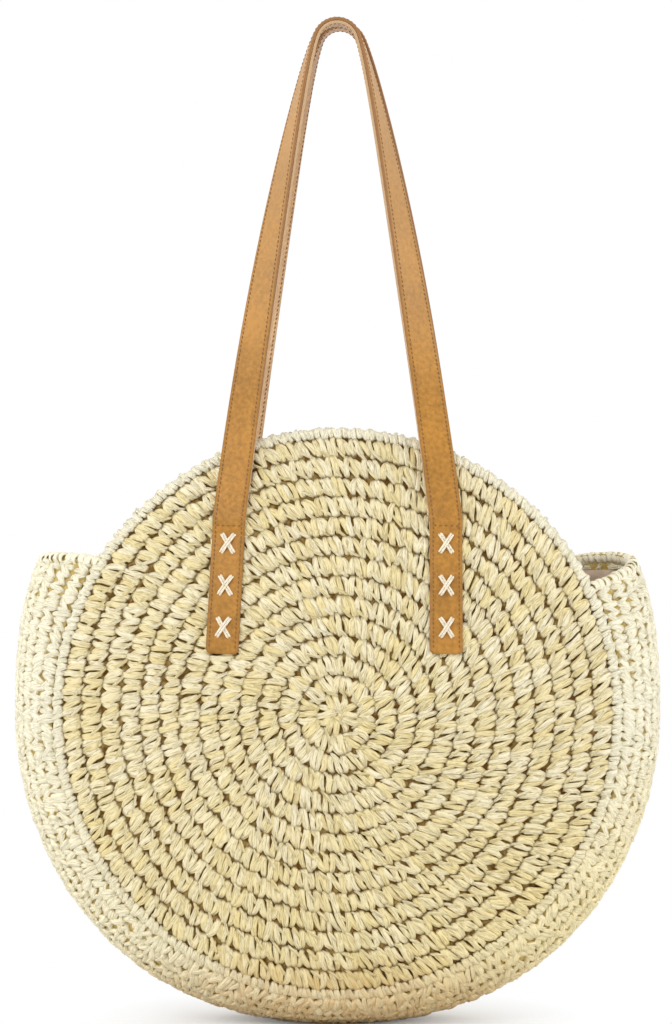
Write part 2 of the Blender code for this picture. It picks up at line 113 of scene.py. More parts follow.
# Leather handles: the CAD's sizes
STRAP_WIDTH = 20.8 * MM
LEATHER_THICKNESS = 2.0 * MM
HANDLE_SPREAD = 137 * MM
HANDLE_SHIFTS = {"front": 0.0, "back": 2.0 * MM}
HANDLE_RISE = 323 * MM
APEX_SHIFT = -0.3 * MM
APEX_RADIUS = 15.6 * MM
APEX_ARC = math.radians(60)
APEX_REACH = 22 * MM
SEAT_REACH = 124 * MM
SEAT_LEAN = math.radians(6.5)
TWIST_POWER = 1.3
TAB_TOP_RISE = 121 * MM
TAB_LENGTH = 83 * MM
TAB_STEP_LENGTH = 8 * MM
LEFT_TAB_LEAN = math.radians(3.0)
RIGHT_TAB_LEAN = 0.0

# Crossed cords: the CAD's sizes
CORD_DIAMETER = 1.5 * MM
CROSS_WIDTH = 7.4 * MM
CROSS_HEIGHT = 11.4 * MM
CROSS_COUNT = 3
CROSS_TOP_MARGIN = 13.5 * MM
CROSS_END_MARGIN = 16.7 * MM

# Small steps that slopes are measured over
SURFACE_STEP = 0.5 * MM
STRAP_STEP = 0.2 * MM
GUSSET_STEP = 0.002

SIDES = ((-1, "left"), (1, "right"))
MIRROR = Matrix.Scale(-1, 4, (0, 1, 0))
HALF_TURN = Matrix.Rotation(math.pi, 4, "Z")
FACES = (("front", Matrix.Identity(4)), ("back", HALF_TURN))


# Settings that a user may change

def colour_setting(name, description, *default):
    return FloatVectorProperty(name=name, description=description, default=default, subtype="COLOR", min=0, max=1)


def length_setting(name, description, default, low=0.0):
    return FloatProperty(name=name, description=description, default=default, min=low, unit="LENGTH")


class StrawSettings(bpy.types.PropertyGroup):
    rounds: IntProperty(name="Rounds", description="Crochet rounds of a disc", default=14, min=6, max=24)
    rows: IntProperty(name="Gusset rows", description="Crochet rows of the gusset", default=11, min=5, max=15)
    stitch: length_setting("Stitch", "Length of one stitch along its round", 11.7 * MM, 4 * MM)
    strand: length_setting("Strand width", "Width of one straw strand", 4.8 * MM, 1 * MM)
    lean: FloatProperty(
        name="Lean", description="How far the strands lean along the round",
        default=math.radians(19), subtype="ANGLE",
    )
    light: colour_setting("Light straw", "Colour of the palest strands", 1.0, 0.95, 0.76)
    # The gusset's straw is painted paler than the discs' straw: painted light on the bag's sides
    pale: colour_setting("Gusset straw", "Colour of the gusset's palest strands", 0.99, 0.94, 0.71)
    dark: colour_setting("Dark straw", "Colour of the most golden strands", 0.90, 0.76, 0.39)
    # Foot straw is painted warm shade, laid on the straw near the floor
    foot: colour_setting("Foot straw", "Colour of the straw near the ground", 0.71, 0.45, 0.16)
    # Straw shade is painted shade, on the strands' dark ends and on the discs' inner yarn
    shade: colour_setting("Straw shade", "Colour deep between the strands", 0.14, 0.07, 0.015)
    seed: IntProperty(name="Seed", description="Seed of the strands' small differences", default=7)


class LiningSettings(bpy.types.PropertyGroup):
    cloth: colour_setting("Cloth", "Colour of the lining", 0.80, 0.63, 0.47)
    fold: length_setting("Fold height", "Height of the lining's slack folds", 1.2 * MM)


class LeatherSettings(bpy.types.PropertyGroup):
    face: colour_setting("Leather", "Colour of the handles' outside", 0.40, 0.185, 0.030)
    backing: colour_setting("Backing", "Colour of the handles' underside", 0.72, 0.48, 0.27)
    edge: colour_setting("Edge paint", "Colour of the painted edges", 0.25, 0.11, 0.045)
    stitch: length_setting("Stitch", "Length from one saddle stitch to the next", 2.9 * MM, 1 * MM)
    margin: length_setting("Stitch margin", "Distance of a stitch row from the strap's edge", 2.1 * MM, 1 * MM)
    thread: colour_setting("Thread", "Colour of the saddle stitches", 0.25, 0.11, 0.03)


class CordSettings(bpy.types.PropertyGroup):
    cord: colour_setting("Cord", "Colour of the crossed cords", 0.93, 0.84, 0.66)
    metal: colour_setting("Snap metal", "Colour of the magnetic snap", 0.62, 0.47, 0.24)


class StageSettings(bpy.types.PropertyGroup):
    distance: length_setting("Camera distance", "From the camera to the bag's middle plane", 2.4, 0.5)
    height: FloatProperty(
        name="Camera height", description="Height of the level camera", default=0.3275, unit="LENGTH",
    )
    lens: FloatProperty(name="Lens", description="Focal length in millimetres", default=130.6, min=10)
    floor: colour_setting("Floor", "Colour of the floor", 0.86, 0.86, 0.86)


# Shape of the straw body, by the CAD's rules

def eased(position, knots):
    """A smooth curve through (position, size) knots, level at each knot."""
    for (start, low), (end, high) in zip(knots, knots[1:]):
        if position <= end:
            share = max(0.0, (position - start) / (end - start))
            return low + (high - low) * share * share * (3 - 2 * share)
    return knots[-1][1]


def rim_half_depth(angle):
    middle = (BOTTOM_HALF_DEPTH + MOUTH_HALF_DEPTH) / 2
    swing = (BOTTOM_HALF_DEPTH - MOUTH_HALF_DEPTH) / 2
    return middle + swing * math.cos(angle)


def rim_slope(angle):
    return DOME_POWER * (CENTRE_HALF_DEPTH - rim_half_depth(angle)) / PANEL_RADIUS


def rim_step(angle, length):
    """Radius gained by going a length past the rim along the surface."""
    return length / math.hypot(1.0, rim_slope(angle))


def gusset_start_radius(angle):
    return PANEL_RADIUS + rim_step(angle, EDGING_DIAMETER + 2 * STRAW_GAP)


def gusset_bulge(angle):
    knots = (
        (0.0, BOTTOM_BULGE), (LOWER_ANGLE, LOWER_BULGE),
        (SIDE_ANGLE, SIDE_BULGE), (GUSSET_END_ANGLE, END_BULGE),
    )
    return eased(abs(angle), knots)


CENTRE_HEIGHT = gusset_start_radius(0.0) + BOTTOM_BULGE - FOOT_FLATTENING


def half_depth(x, z):
    """Distance of the front disc's outer face from the middle plane."""
    radius = math.hypot(x, z - CENTRE_HEIGHT)
    angle = math.atan2(x, CENTRE_HEIGHT - z)
    rim = rim_half_depth(angle)
    if radius > PANEL_RADIUS:
        return rim - rim_slope(angle) * (radius - PANEL_RADIUS)
    return CENTRE_HALF_DEPTH + (rim - CENTRE_HALF_DEPTH) * (radius / PANEL_RADIUS) ** DOME_POWER


def panel_normal(x, z):
    step = SURFACE_STEP
    across = (half_depth(x + step, z) - half_depth(x - step, z)) / (2 * step)
    up = (half_depth(x, z + step) - half_depth(x, z - step)) / (2 * step)
    return -Vector((across, 1.0, up)).normalized()


def on_panel(x, z, height):
    """A point over the front disc's outer face, or inside it where height is negative."""
    return Vector((x, -half_depth(x, z), z)) + panel_normal(x, z) * height


def on_circle(radius, angle):
    """Flat place of a point at a radius and an angle from straight down."""
    return radius * math.sin(angle), CENTRE_HEIGHT - radius * math.cos(angle)


def gusset_point(angle, across):
    """Outer face of the gusset. Across runs from -1 at the front seam to 1 at the back seam."""
    end = angle / GUSSET_END_ANGLE
    droop = GUSSET_END_DROOP * (1 - across * across) * end
    skew = GUSSET_END_SKEW * across * end * end
    angle = angle - droop + skew
    start = gusset_start_radius(angle)
    depth = rim_half_depth(angle) - rim_slope(angle) * (start - PANEL_RADIUS)
    bulge = gusset_bulge(angle)
    steepness = rim_slope(angle) * bulge / depth
    edge_turn = math.acos(steepness / (1 - steepness))
    turn = across * edge_turn
    radius = start + bulge * (math.cos(turn) - math.cos(edge_turn)) / (1 - math.cos(edge_turn))
    x, z = on_circle(radius, angle)
    return Vector((x, depth * math.sin(turn) / math.sin(edge_turn), z))


def gusset_normal(angle, across):
    step = GUSSET_STEP
    along = gusset_point(angle + step, across) - gusset_point(angle - step, across)
    over = gusset_point(angle, across + step) - gusset_point(angle, across - step)
    return over.cross(along).normalized()


def on_gusset(angle, across, height):
    return gusset_point(angle, across) + gusset_normal(angle, across) * height


# Node trees

def socket_of(sockets, name):
    return next(s for s in sockets if s.enabled and (name is None or s.name == name))


def add_node(tree, kind, values=None, output=None, **settings):
    """Adds a node, sets or links its inputs, and returns one of its outputs."""
    node = tree.nodes.new(kind)
    for key, value in settings.items():
        setattr(node, key, value)
    for name, value in (values or {}).items():
        socket = node.inputs[name] if isinstance(name, int) else socket_of(node.inputs, name)
        if isinstance(value, bpy.types.NodeSocket):
            tree.links.new(value, socket)
        else:
            socket.default_value = value
    return socket_of(node.outputs, output) if node.outputs else None


def maths(tree, operation, first, second=0.0, third=0.0, clamp=False):
    values = {0: first, 1: second, 2: third}
    return add_node(tree, "ShaderNodeMath", values, operation=operation, use_clamp=clamp)


def vector_maths(tree, operation, first, second):
    return add_node(tree, "ShaderNodeVectorMath", {0: first, 1: second}, operation=operation)


def scaled(tree, vector, factor):
    return add_node(tree, "ShaderNodeVectorMath", {0: vector, "Scale": factor}, operation="SCALE")


def random_between(tree, low, high, seed):
    return add_node(tree, "FunctionNodeRandomValue", {2: low, 3: high, "Seed": seed}, data_type="FLOAT")


def part_of(tree, vector, axis):
    return add_node(tree, "ShaderNodeSeparateXYZ", {"Vector": vector}, axis)


def spaced_rows(tree, guide, step):
    """The guide's rows as curves, with points a step apart."""
    rows = add_node(tree, "GeometryNodeMeshToCurve", {"Mesh": guide})
    return add_node(tree, "GeometryNodeResampleCurve", {"Curve": rows, "Length": step}, mode="LENGTH")


def row_directions(tree):
    """The way that a row faces, the way that it goes, and the rotation that fits both."""
    up = add_node(tree, "GeometryNodeInputNamedAttribute", {"Name": "up"}, data_type="FLOAT_VECTOR")
    tangent = add_node(tree, "GeometryNodeInputTangent")
    axes = {"Primary Axis": up, "Secondary Axis": tangent}
    facing = add_node(tree, "FunctionNodeAxesToRotation", axes, primary_axis="Z", secondary_axis="X")
    return up, tangent, facing


def turned(tree, facing, angles):
    """A rotation turned further by angles about its own axes."""
    euler = add_node(tree, "ShaderNodeCombineXYZ", angles)
    turns = {"Rotation": facing, "Rotate By": add_node(tree, "FunctionNodeEulerToRotation", {"Euler": euler})}
    return add_node(tree, "FunctionNodeRotateRotation", turns, rotation_space="LOCAL")


SOCKET_KINDS = {
    float: "NodeSocketFloat", int: "NodeSocketInt",
    "collection": "NodeSocketCollection", "object": "NodeSocketObject", "material": "NodeSocketMaterial",
}


def new_tree(name, inputs):
    """A geometry tree with named inputs, and its group input and output nodes."""
    tree = bpy.data.node_groups.new(name, "GeometryNodeTree")
    tree.interface.new_socket("Geometry", in_out="INPUT", socket_type="NodeSocketGeometry")
    tree.interface.new_socket("Geometry", in_out="OUTPUT", socket_type="NodeSocketGeometry")
    for label, value in inputs.items():
        kind = value if isinstance(value, str) else type(value)
        socket = tree.interface.new_socket(label, in_out="INPUT", socket_type=SOCKET_KINDS[kind])
        if not isinstance(value, str):
            socket.default_value = value
    source = tree.nodes.new("NodeGroupInput")
    result = tree.nodes.new("NodeGroupOutput")
    return tree, source.outputs, result.inputs[0]


def evaluated_mesh(guide, tree, values, name):
    """Runs a tree on a guide object and returns the result as a plain mesh.

    The guide, the tree, and the objects and collections among the values are removed.
    """
    modifier = guide.modifiers.new("made", "NODES")
    modifier.node_group = tree
    identifiers = {item.name: item.identifier for item in tree.interface.items_tree if item.in_out == "INPUT"}
    for label, value in values.items():
        modifier[identifiers[label]] = value
    graph = bpy.context.evaluated_depsgraph_get()
    made = bpy.data.meshes.new_from_object(guide.evaluated_get(graph), depsgraph=graph)
    made.name = name
    guide.modifiers.remove(modifier)
    collections = [value for value in values.values() if isinstance(value, bpy.types.Collection)]
    helpers = [guide] + [value for value in values.values() if isinstance(value, bpy.types.Object)]
    for helper in helpers + [item for collection in collections for item in collection.objects]:
        bpy.data.objects.remove(helper)
    for collection in collections:
        bpy.data.collections.remove(collection)
    bpy.data.node_groups.remove(tree)
    return made


# Meshes

def link(name, mesh, *materials):
    piece = bpy.data.objects.new(name, mesh)
    for material in materials:
        mesh.materials.append(material)
    bpy.context.scene.collection.objects.link(piece)
    return piece


def mesh_from(form, name):
    """A smooth-shaded mesh of a closed form, with its faces pointing out."""
    mesh = bpy.data.meshes.new(name)
    bmesh.ops.recalc_face_normals(form, faces=form.faces)
    if form.calc_volume(signed=True) < 0:
        bmesh.ops.reverse_faces(form, faces=form.faces)
    form.to_mesh(mesh)
    form.free()
    mesh.shade_smooth()
    return mesh


def mirrored(mesh):
    mesh.transform(MIRROR)
    mesh.flip_normals()
    return mesh


def clear_floor(mesh):
    """Flattens what would sink into the surface that the bag stands on."""
    for vertex in mesh.vertices:
        vertex.co.z = max(vertex.co.z, FLOOR_GAP)
    return mesh


def tag_points(mesh, **values):
    """Gives each vertex a number by name, which trees and materials read."""
    for name, numbers in values.items():
        mesh.attributes.new(name, "FLOAT", "POINT").data.foreach_set("value", numbers)
    return mesh


def loft(rings, closed=False, name="loft"):
    """A closed skin over rings of points; the ends are capped unless the loft closes on itself."""
    form = bmesh.new()
    made = [[form.verts.new(point) for point in ring] for ring in rings]
    pairs = list(zip(made, made[1:]))
    if closed:
        pairs.append((made[-1], made[0]))
    for ring, following in pairs:
        for number in range(len(ring)):
            other = (number + 1) % len(ring)
            form.faces.new((ring[number], ring[other], following[other], following[number]))
    if not closed:
        form.faces.new(made[0])
        form.faces.new(made[-1])
    return mesh_from(form, name)


def shell(name, form, place, height, thickness):
    """Gives a flat sheet its thickness, and bends both its faces onto the bag by a placing rule.

    The sorting puts vertices and faces in the same order each time the script runs.
    """
    lifted = bmesh.ops.extrude_face_region(form, geom=form.faces[:], use_keep_orig=True)
    inner = {item for item in lifted["geom"] if isinstance(item, bmesh.types.BMVert)}
    for vertex in form.verts:
        depth = thickness if vertex in inner else 0.0
        vertex.co = place(vertex.co, height - depth)
    for items, where in ((form.verts, lambda item: item.co), (form.faces, lambda item: item.calc_center_median())):
        for index, item in enumerate(sorted(items, key=lambda item: tuple(where(item)))):
            item.index = index
        items.sort()
    return mesh_from(form, name)


def spun_disc(segments, rings):
    form = bmesh.new()
    row = [form.verts.new((ring / rings, 0.0, 0.0)) for ring in range(rings + 1)]
    for inner, outer in zip(row, row[1:]):
        form.edges.new((inner, outer))
    bmesh.ops.spin(
        form, geom=form.verts[:] + form.edges[:], cent=(0, 0, 0), axis=(0, 0, 1),
        angle=math.tau, steps=segments, use_merge=True,
    )
    bmesh.ops.remove_doubles(form, verts=form.verts, dist=1e-6)
    return form


def flat_grid(columns, rows, half_width=1.0):
    form = bmesh.new()
    bmesh.ops.create_grid(form, x_segments=columns, y_segments=rows, size=half_width)
    return form


def disc_rule(rim_radius):
    def place(flat, height):
        angle = math.atan2(flat.y, flat.x)
        x, z = on_circle(math.hypot(flat.x, flat.y) * rim_radius(angle), angle)
        return on_panel(x, z, height)
    return place


def band_rule(end_angle):
    def place(flat, height):
        return on_gusset(flat.x * end_angle, flat.y, height)
    return place


# Materials

def new_material(name, roughness, specular=0.3, sheen=0.0):
    material = bpy.data.materials.new(name)
    material.use_nodes = True
    tree = material.node_tree
    shader = tree.nodes["Principled BSDF"]
    shader.inputs["Roughness"].default_value = roughness
    shader.inputs["Specular IOR Level"].default_value = specular
    shader.inputs["Sheen Weight"].default_value = sheen
    return material, tree, shader


def attribute(tree, name):
    return add_node(tree, "ShaderNodeAttribute", {}, "Fac", attribute_name=name)


def noise_of(tree, vector, scale, detail):
    return add_node(tree, "ShaderNodeTexNoise", {"Vector": vector, "Scale": scale, "Detail": detail}, "Fac")


def object_place(tree):
    return add_node(tree, "ShaderNodeTexCoord", {}, "Object")


def toned(colour, *shares):
    """A colour times one share, or times a share each for red, green and blue."""
    return [min(1.0, part * share) for part, share in zip(colour, shares * (3 // len(shares)))]


def mixed(tree, share, first, second):
    """A colour between two, each of them a socket or a plain colour."""
    ends = [end if isinstance(end, bpy.types.NodeSocket) else (*end[:3], 1.0) for end in (first, second)]
    return add_node(tree, "ShaderNodeMix", {"Factor": share, "A": ends[0], "B": ends[1]}, "Result", data_type="RGBA")


def ranged(tree, value, low, high, to_low=0.0, to_high=1.0):
    values = {"Value": value, "From Min": low, "From Max": high, "To Min": to_low, "To Max": to_high}
    return add_node(tree, "ShaderNodeMapRange", values, "Result", clamp=True)


def finish(tree, shader, colour, height, depth, strength):
    """Gives a material its colour, and a bump from a height that is worth a depth."""
    tree.links.new(colour, shader.inputs["Base Color"])
    values = {"Height": height, "Distance": depth, "Strength": strength}
    tree.links.new(add_node(tree, "ShaderNodeBump", values), shader.inputs["Normal"])


# Colours of painted shade: warm shade low down and towards the bottom right, and shade in the slits, along the strands'
# flanks and at their ends
WARM_SHADE_STRAW = (0.98, 0.82, 0.40)
SLIT_SHADE_SHARES = (0.46, 0.40, 0.25)
FLANK_SHADE_SHARES = (0.6, 0.5, 0.3)
FOOT_END_SHADE_SHARES = (0.45, 0.36, 0.2)
WARM_SHADE_SLOPE = -0.6
STRANDS_APART = 400.0


def straw_material(name, settings, light, dark, shade, slits):
    """Each strand has its own tone, plies with thin dark slits, fine fibres, and ends that dive into shade.

    The slits, the strands' darker flanks and their dark ends are painted shade. The straw is more golden low down, most
    of all on the right, and amber near the floor: painted warm shade.
    """
    _, tree, shader = new_material(name, 0.62, 0.32, 0.08)
    tone, along, across = (attribute(tree, f"strand_{part}") for part in ("tone", "along", "across"))
    place = object_place(tree)
    height = part_of(tree, place, "Z")

    def strand_noise(crosswise, lengthwise, detail):
        stretched = add_node(tree, "ShaderNodeCombineXYZ", {
            "X": maths(tree, "MULTIPLY", across, crosswise), "Y": maths(tree, "MULTIPLY", along, lengthwise),
            "Z": maths(tree, "MULTIPLY", tone, STRANDS_APART),
        })
        return noise_of(tree, stretched, 1.0, detail)

    plies = strand_noise(3.2, 1.0, 2.0)
    fibre = strand_noise(9.0, 1.6, 3.0)
    patch = noise_of(tree, place, 28.0, 2.0)
    warmth = maths(tree, "MULTIPLY_ADD", patch, 0.5, maths(tree, "MULTIPLY", tone, 0.75))
    colour = mixed(tree, ranged(tree, warmth, 0.1, 1.05), light, dark)

    # Painted warm shade: more golden low down and towards the bottom right
    low = ranged(tree, height, 20 * MM, 200 * MM, 0.4, 0.0)
    right = maths(tree, "MULTIPLY_ADD", part_of(tree, place, "X"), WARM_SHADE_SLOPE, height)
    warm_shade = ranged(tree, right, -20 * MM, 70 * MM, 0.8, 0.0)
    colour = mixed(tree, maths(tree, "MAXIMUM", low, warm_shade), colour, WARM_SHADE_STRAW)
    # Painted warm shade near the floor: the straw turns amber, and so does the painted shade at the strands' ends
    near_floor_shade = ranged(tree, height, 6 * MM, 50 * MM, 1.0, 0.0)
    foot = maths(tree, "MULTIPLY", near_floor_shade, ranged(tree, warmth, 0.25, 0.85, 0.5, 1.15))
    colour = mixed(tree, foot, colour, settings.foot)

    # Painted shade in the thin slits between the plies
    slit_shade = ranged(tree, plies, 0.38, 0.48, slits, 0.0)
    colour = mixed(tree, slit_shade, colour, toned(dark, *SLIT_SHADE_SHARES))
    streak = ranged(tree, fibre, 0.35, 0.75, 0.25, 0.0)
    colour = mixed(tree, streak, colour, dark)
    # Painted shade along each strand's edges, where it meets its neighbours
    flank_shade = ranged(tree, maths(tree, "ABSOLUTE", across), 0.74, 1.0, 0.0, 0.6)
    colour = mixed(tree, flank_shade, colour, toned(dark, *FLANK_SHADE_SHARES))

    # Painted shade at both ends of each strand, where it dives under its neighbours
    inner_end = ranged(tree, along, -0.82, -1.0)
    outer_end = ranged(tree, along, 0.66, 1.0)
    uneven = ranged(tree, tone, 0.1, 0.45, 0.75, 1.0)
    dark_end_shade = maths(tree, "MULTIPLY", maths(tree, "MAXIMUM", inner_end, outer_end), uneven)
    end_shade = mixed(tree, near_floor_shade, shade, toned(settings.foot, *FOOT_END_SHADE_SHARES))
    colour = mixed(tree, maths(tree, "MULTIPLY", dark_end_shade, slits), colour, end_shade)
    finish(tree, shader, colour, maths(tree, "MULTIPLY_ADD", plies, 2.0, fibre), 0.8 * MM, 0.8)


def yarn_material(name, shade, thread):
    """The crochet's inner yarn, deep between the strands, coloured with painted shade far darker than its straw."""
    _, tree, shader = new_material(name, 0.9, 0.05)
    place = object_place(tree)
    spots = ranged(tree, noise_of(tree, place, 260.0, 3.0), 0.4, 0.75)
    finish(tree, shader, mixed(tree, spots, shade, thread), noise_of(tree, place, 420.0, 2.0), 1.0 * MM, 0.8)


THREAD_SPACING = 0.7 * MM


def cloth_material(colour):
    """A plain weave on the cloth's own map, in metres."""
    material, tree, shader = new_material("woven_lining", 0.85, 0.2, 0.25)
    uv = add_node(tree, "ShaderNodeUVMap", {}, uv_map="cloth")
    warp, weft = (
        maths(tree, "SINE", maths(tree, "MULTIPLY", part_of(tree, uv, axis), math.tau / THREAD_SPACING))
        for axis in ("X", "Y")
    )
    weave = maths(tree, "MULTIPLY", warp, weft)
    slub = noise_of(tree, object_place(tree), 90.0, 4.0)
    tone = ranged(tree, maths(tree, "MULTIPLY_ADD", weave, 0.18, slub), 0.25, 0.8)
    finish(tree, shader, mixed(tree, tone, toned(colour, 0.75), toned(colour, 1.15)), weave, 0.12 * MM, 0.8)
    return material


PALER_LEATHER = (0.56, 0.34, 0.16)
PALER_FROM, PALER_TO = 400 * MM, 560 * MM


def leather_material(name, colour, edge):
    """Leather on the strap's own map: across in metres, then along. Its cut edges are painted."""
    material, tree, shader = new_material(name, 0.48, 0.3)
    half_width = STRAP_WIDTH / 2
    uv = add_node(tree, "ShaderNodeUVMap", {}, uv_map="strap")
    across = maths(tree, "ABSOLUTE", part_of(tree, uv, "X"))
    place = object_place(tree)
    mottle = noise_of(tree, place, 26.0, 5.0)
    speckle = noise_of(tree, place, 380.0, 2.0)
    grain = noise_of(tree, place, 950.0, 3.0)
    pores = add_node(tree, "ShaderNodeTexVoronoi", {"Vector": place, "Scale": 1500.0}, "Distance")
    tone = ranged(tree, maths(tree, "MULTIPLY_ADD", speckle, 1.2, mottle), 0.8, 1.4)
    skin = mixed(tree, tone, toned(colour, 0.74), toned(colour, 1.22))
    paler = ranged(tree, part_of(tree, place, "Z"), PALER_FROM, PALER_TO, 0.0, 0.5)
    skin = mixed(tree, paler, skin, PALER_LEATHER)
    burnish = ranged(tree, across, half_width - 3.0 * MM, half_width - 0.4 * MM, 0.0, 0.4)
    skin = mixed(tree, burnish, skin, toned(colour, 0.6))
    painted = ranged(tree, across, half_width - 0.25 * MM, half_width + 0.1 * MM)
    relief = maths(tree, "MULTIPLY_ADD", pores, 0.6, grain)
    finish(tree, shader, mixed(tree, painted, skin, edge), relief, 0.12 * MM, 0.6)
    tree.links.new(ranged(tree, grain, 0.3, 0.7, 0.38, 0.55), shader.inputs["Roughness"])
    return material


def thread_material(name, colour, fibre_scale, roughness=0.6):
    material, tree, shader = new_material(name, roughness, 0.3, 0.15)
    fibre = noise_of(tree, object_place(tree), fibre_scale, 2.0)
    dyed = mixed(tree, ranged(tree, fibre, 0.3, 0.7), toned(colour, 0.7), colour)
    finish(tree, shader, dyed, fibre, 0.15 * MM, 0.6)
    return material


def metal_material(colour):
    """Plated metal with patches that handling has dulled."""
    material, tree, shader = new_material("plated_metal", 0.3, 0.5)
    shader.inputs["Metallic"].default_value = 1.0
    patch = noise_of(tree, object_place(tree), 180.0, 4.0)
    plated = mixed(tree, ranged(tree, patch, 0.35, 0.7), toned(colour, 0.75), colour)
    tree.links.new(plated, shader.inputs["Base Color"])
    tree.links.new(ranged(tree, patch, 0.3, 0.7, 0.24, 0.42), shader.inputs["Roughness"])
    return material


# Straw strands

# (along, half width, height in millimetres of the middle line) from the inner end to the outer one, which dives
STRAND_FORM = (
    (-1.0, 0.5, -1.6), (-0.78, 0.92, -0.25), (-0.2, 1.0, 0.2), (0.35, 0.98, 0.1), (0.78, 0.86, -0.55),
    (1.0, 0.55, -1.9),
)
SHORT_STRAND_FORM = ((-1.0, 0.55, -1.3), (-0.6, 0.95, 0.0), (0.0, 1.0, 0.2), (0.6, 0.92, -0.1), (1.0, 0.55, -1.5))
STRAND_SECTION = ((-1, -0.8), (-0.86, 0.1), (-0.4, 0.85), (0.1, 0.5), (0.65, 0.7), (1, -0.8))
STRAND_HALF_THICKNESS = 1.3 * MM
STRAND_TOP = 0.4 * MM
STRAND_SWELL = (0.88, 1.1)
STRAND_SWAY = 0.09
STRAND_GATHER = 1.8 * MM
STRAND_LENGTHS = (1.0, 1.04, 0.94, 1.05, 0.99, 1.08, 1.02, 0.95, 1.04)
WRAP_SECTION = ((-1, -0.5), (-0.8, 0.4), (-0.3, 0.95), (0.3, 0.95), (0.8, 0.4), (1, -0.5))
WRAP_WIDTH = 6.2 * MM
WRAP_THICKNESS = 0.9 * MM
WRAP_RADIUS = STRAW_THICKNESS / 2 - 0.2 * MM
WRAP_CORNERS = 14


def tag_strand(mesh, tags):
    """Where each vertex lies along and across its strand, from -1 to 1."""
    along, across = zip(*tags)
    return tag_points(mesh, strand_along=along, strand_across=across)


def strand_mesh(number, form, length, width, gather, seed):
    """One puffy straw strand along Y, with two plies and its own sway. Its outer end goes aside by gather."""
    draw = random.Random(seed)
    rings, tags = [], []
    crest = STRAND_HALF_THICKNESS * max(up for _, up in STRAND_SECTION)
    for along, swell, height in form:
        half = width / 2 * swell * draw.uniform(*STRAND_SWELL)
        sway = width * STRAND_SWAY * draw.uniform(-1, 1) + gather * (eased(along, ((0.1, 0.0), (1.0, 1.0))) - 0.3)
        thick = STRAND_HALF_THICKNESS * (0.45 + 0.55 * swell)
        level = height * MM + STRAND_TOP - crest
        rings.append([
            Vector((across * half + sway, along * length / 2, level + up * thick)) for across, up in STRAND_SECTION
        ])
        tags += [(along, across) for across, _ in STRAND_SECTION]
    return tag_strand(loft(rings, name=f"strand_{number:02}"), tags)


def straw_strands(settings, length, width=1.0):
    """Nine strands: three gather forward at their outer ends, three are straight, and three gather back."""
    return [
        strand_mesh(
            number, STRAND_FORM, length * share, settings.strand * width, STRAND_GATHER * (1 - number // 3), number,
        ) for number, share in enumerate(STRAND_LENGTHS)
    ]


def short_strands(length, width, first=0):
    """Six short strands for close crochet."""
    return [strand_mesh(first + number, SHORT_STRAND_FORM, length, width, 0.0, number) for number in range(6)]


def wrap_mesh(seed):
    """One strand wrapped right round an edge that runs along X."""
    draw = random.Random(seed)
    rings, tags = [], []
    for number in range(WRAP_CORNERS):
        turn = math.tau * number / WRAP_CORNERS
        swell = 1 + 0.1 * draw.uniform(-1, 1)
        ring = []
        for across, up in WRAP_SECTION:
            reach = WRAP_RADIUS + up * WRAP_THICKNESS * swell
            ring.append(Vector((across * WRAP_WIDTH / 2 * swell, reach * math.sin(turn), reach * math.cos(turn))))
            tags.append((0.0, across))
        rings.append(ring)
    return tag_strand(loft(rings, closed=True, name=f"wrap_{seed}"), tags)


# Crochet

def guide_object(name, lines):
    """Rows to crochet along. A line is (points, ups, closed, slants); up is the way that the straw faces."""
    mesh = bpy.data.meshes.new(name)
    places, ups, slants, edges = [], [], [], []
    for points, facing, closed, slant in lines:
        start = len(places)
        places += points
        ups += facing
        slants += slant if isinstance(slant, list) else [slant] * len(points)
        edges += [(start + n, start + n + 1) for n in range(len(points) - 1)]
        if closed:
            edges.append((start + len(points) - 1, start))
    mesh.from_pydata(places, edges, [])
    flat = [value for up in ups for value in up]
    mesh.attributes.new("up", "FLOAT_VECTOR", "POINT").data.foreach_set("vector", flat)
    return link(name, tag_points(mesh, slant=slants))


# A layer puts one strand, from first to last of the strands, on every stitch. Shift is a share of the stitch,
# turn is added to the row's lean times lean, over goes across the row and height goes out of it.
Layer = namedtuple("Layer", "first last shift turn lean over height", defaults=(0.0, 0.0, 1.0, 0.0, 0.0))
CLUSTER = math.radians(3)
DISC_LAYERS = (
    Layer(0, 2, shift=-0.33, turn=-CLUSTER),
    Layer(3, 5, over=0.2 * MM, height=0.3 * MM),
    Layer(6, 8, shift=0.33, turn=CLUSTER),
)
LOOP_LAYER = Layer(9, 14, turn=math.radians(52), lean=0.0, over=-3.6 * MM, height=0.4 * MM)
GUSSET_LAYERS = (Layer(0, 5, shift=-0.25, turn=-0.2, height=0.2 * MM), Layer(0, 5, shift=0.25, turn=0.2))
WRAP_LAYERS = (Layer(0, 2),)
SEEDS_PER_LAYER = 31.0
SHIFT_SPREAD = 0.05
NOD_SPREAD = 0.07
ROLL_SPREAD = 0.16


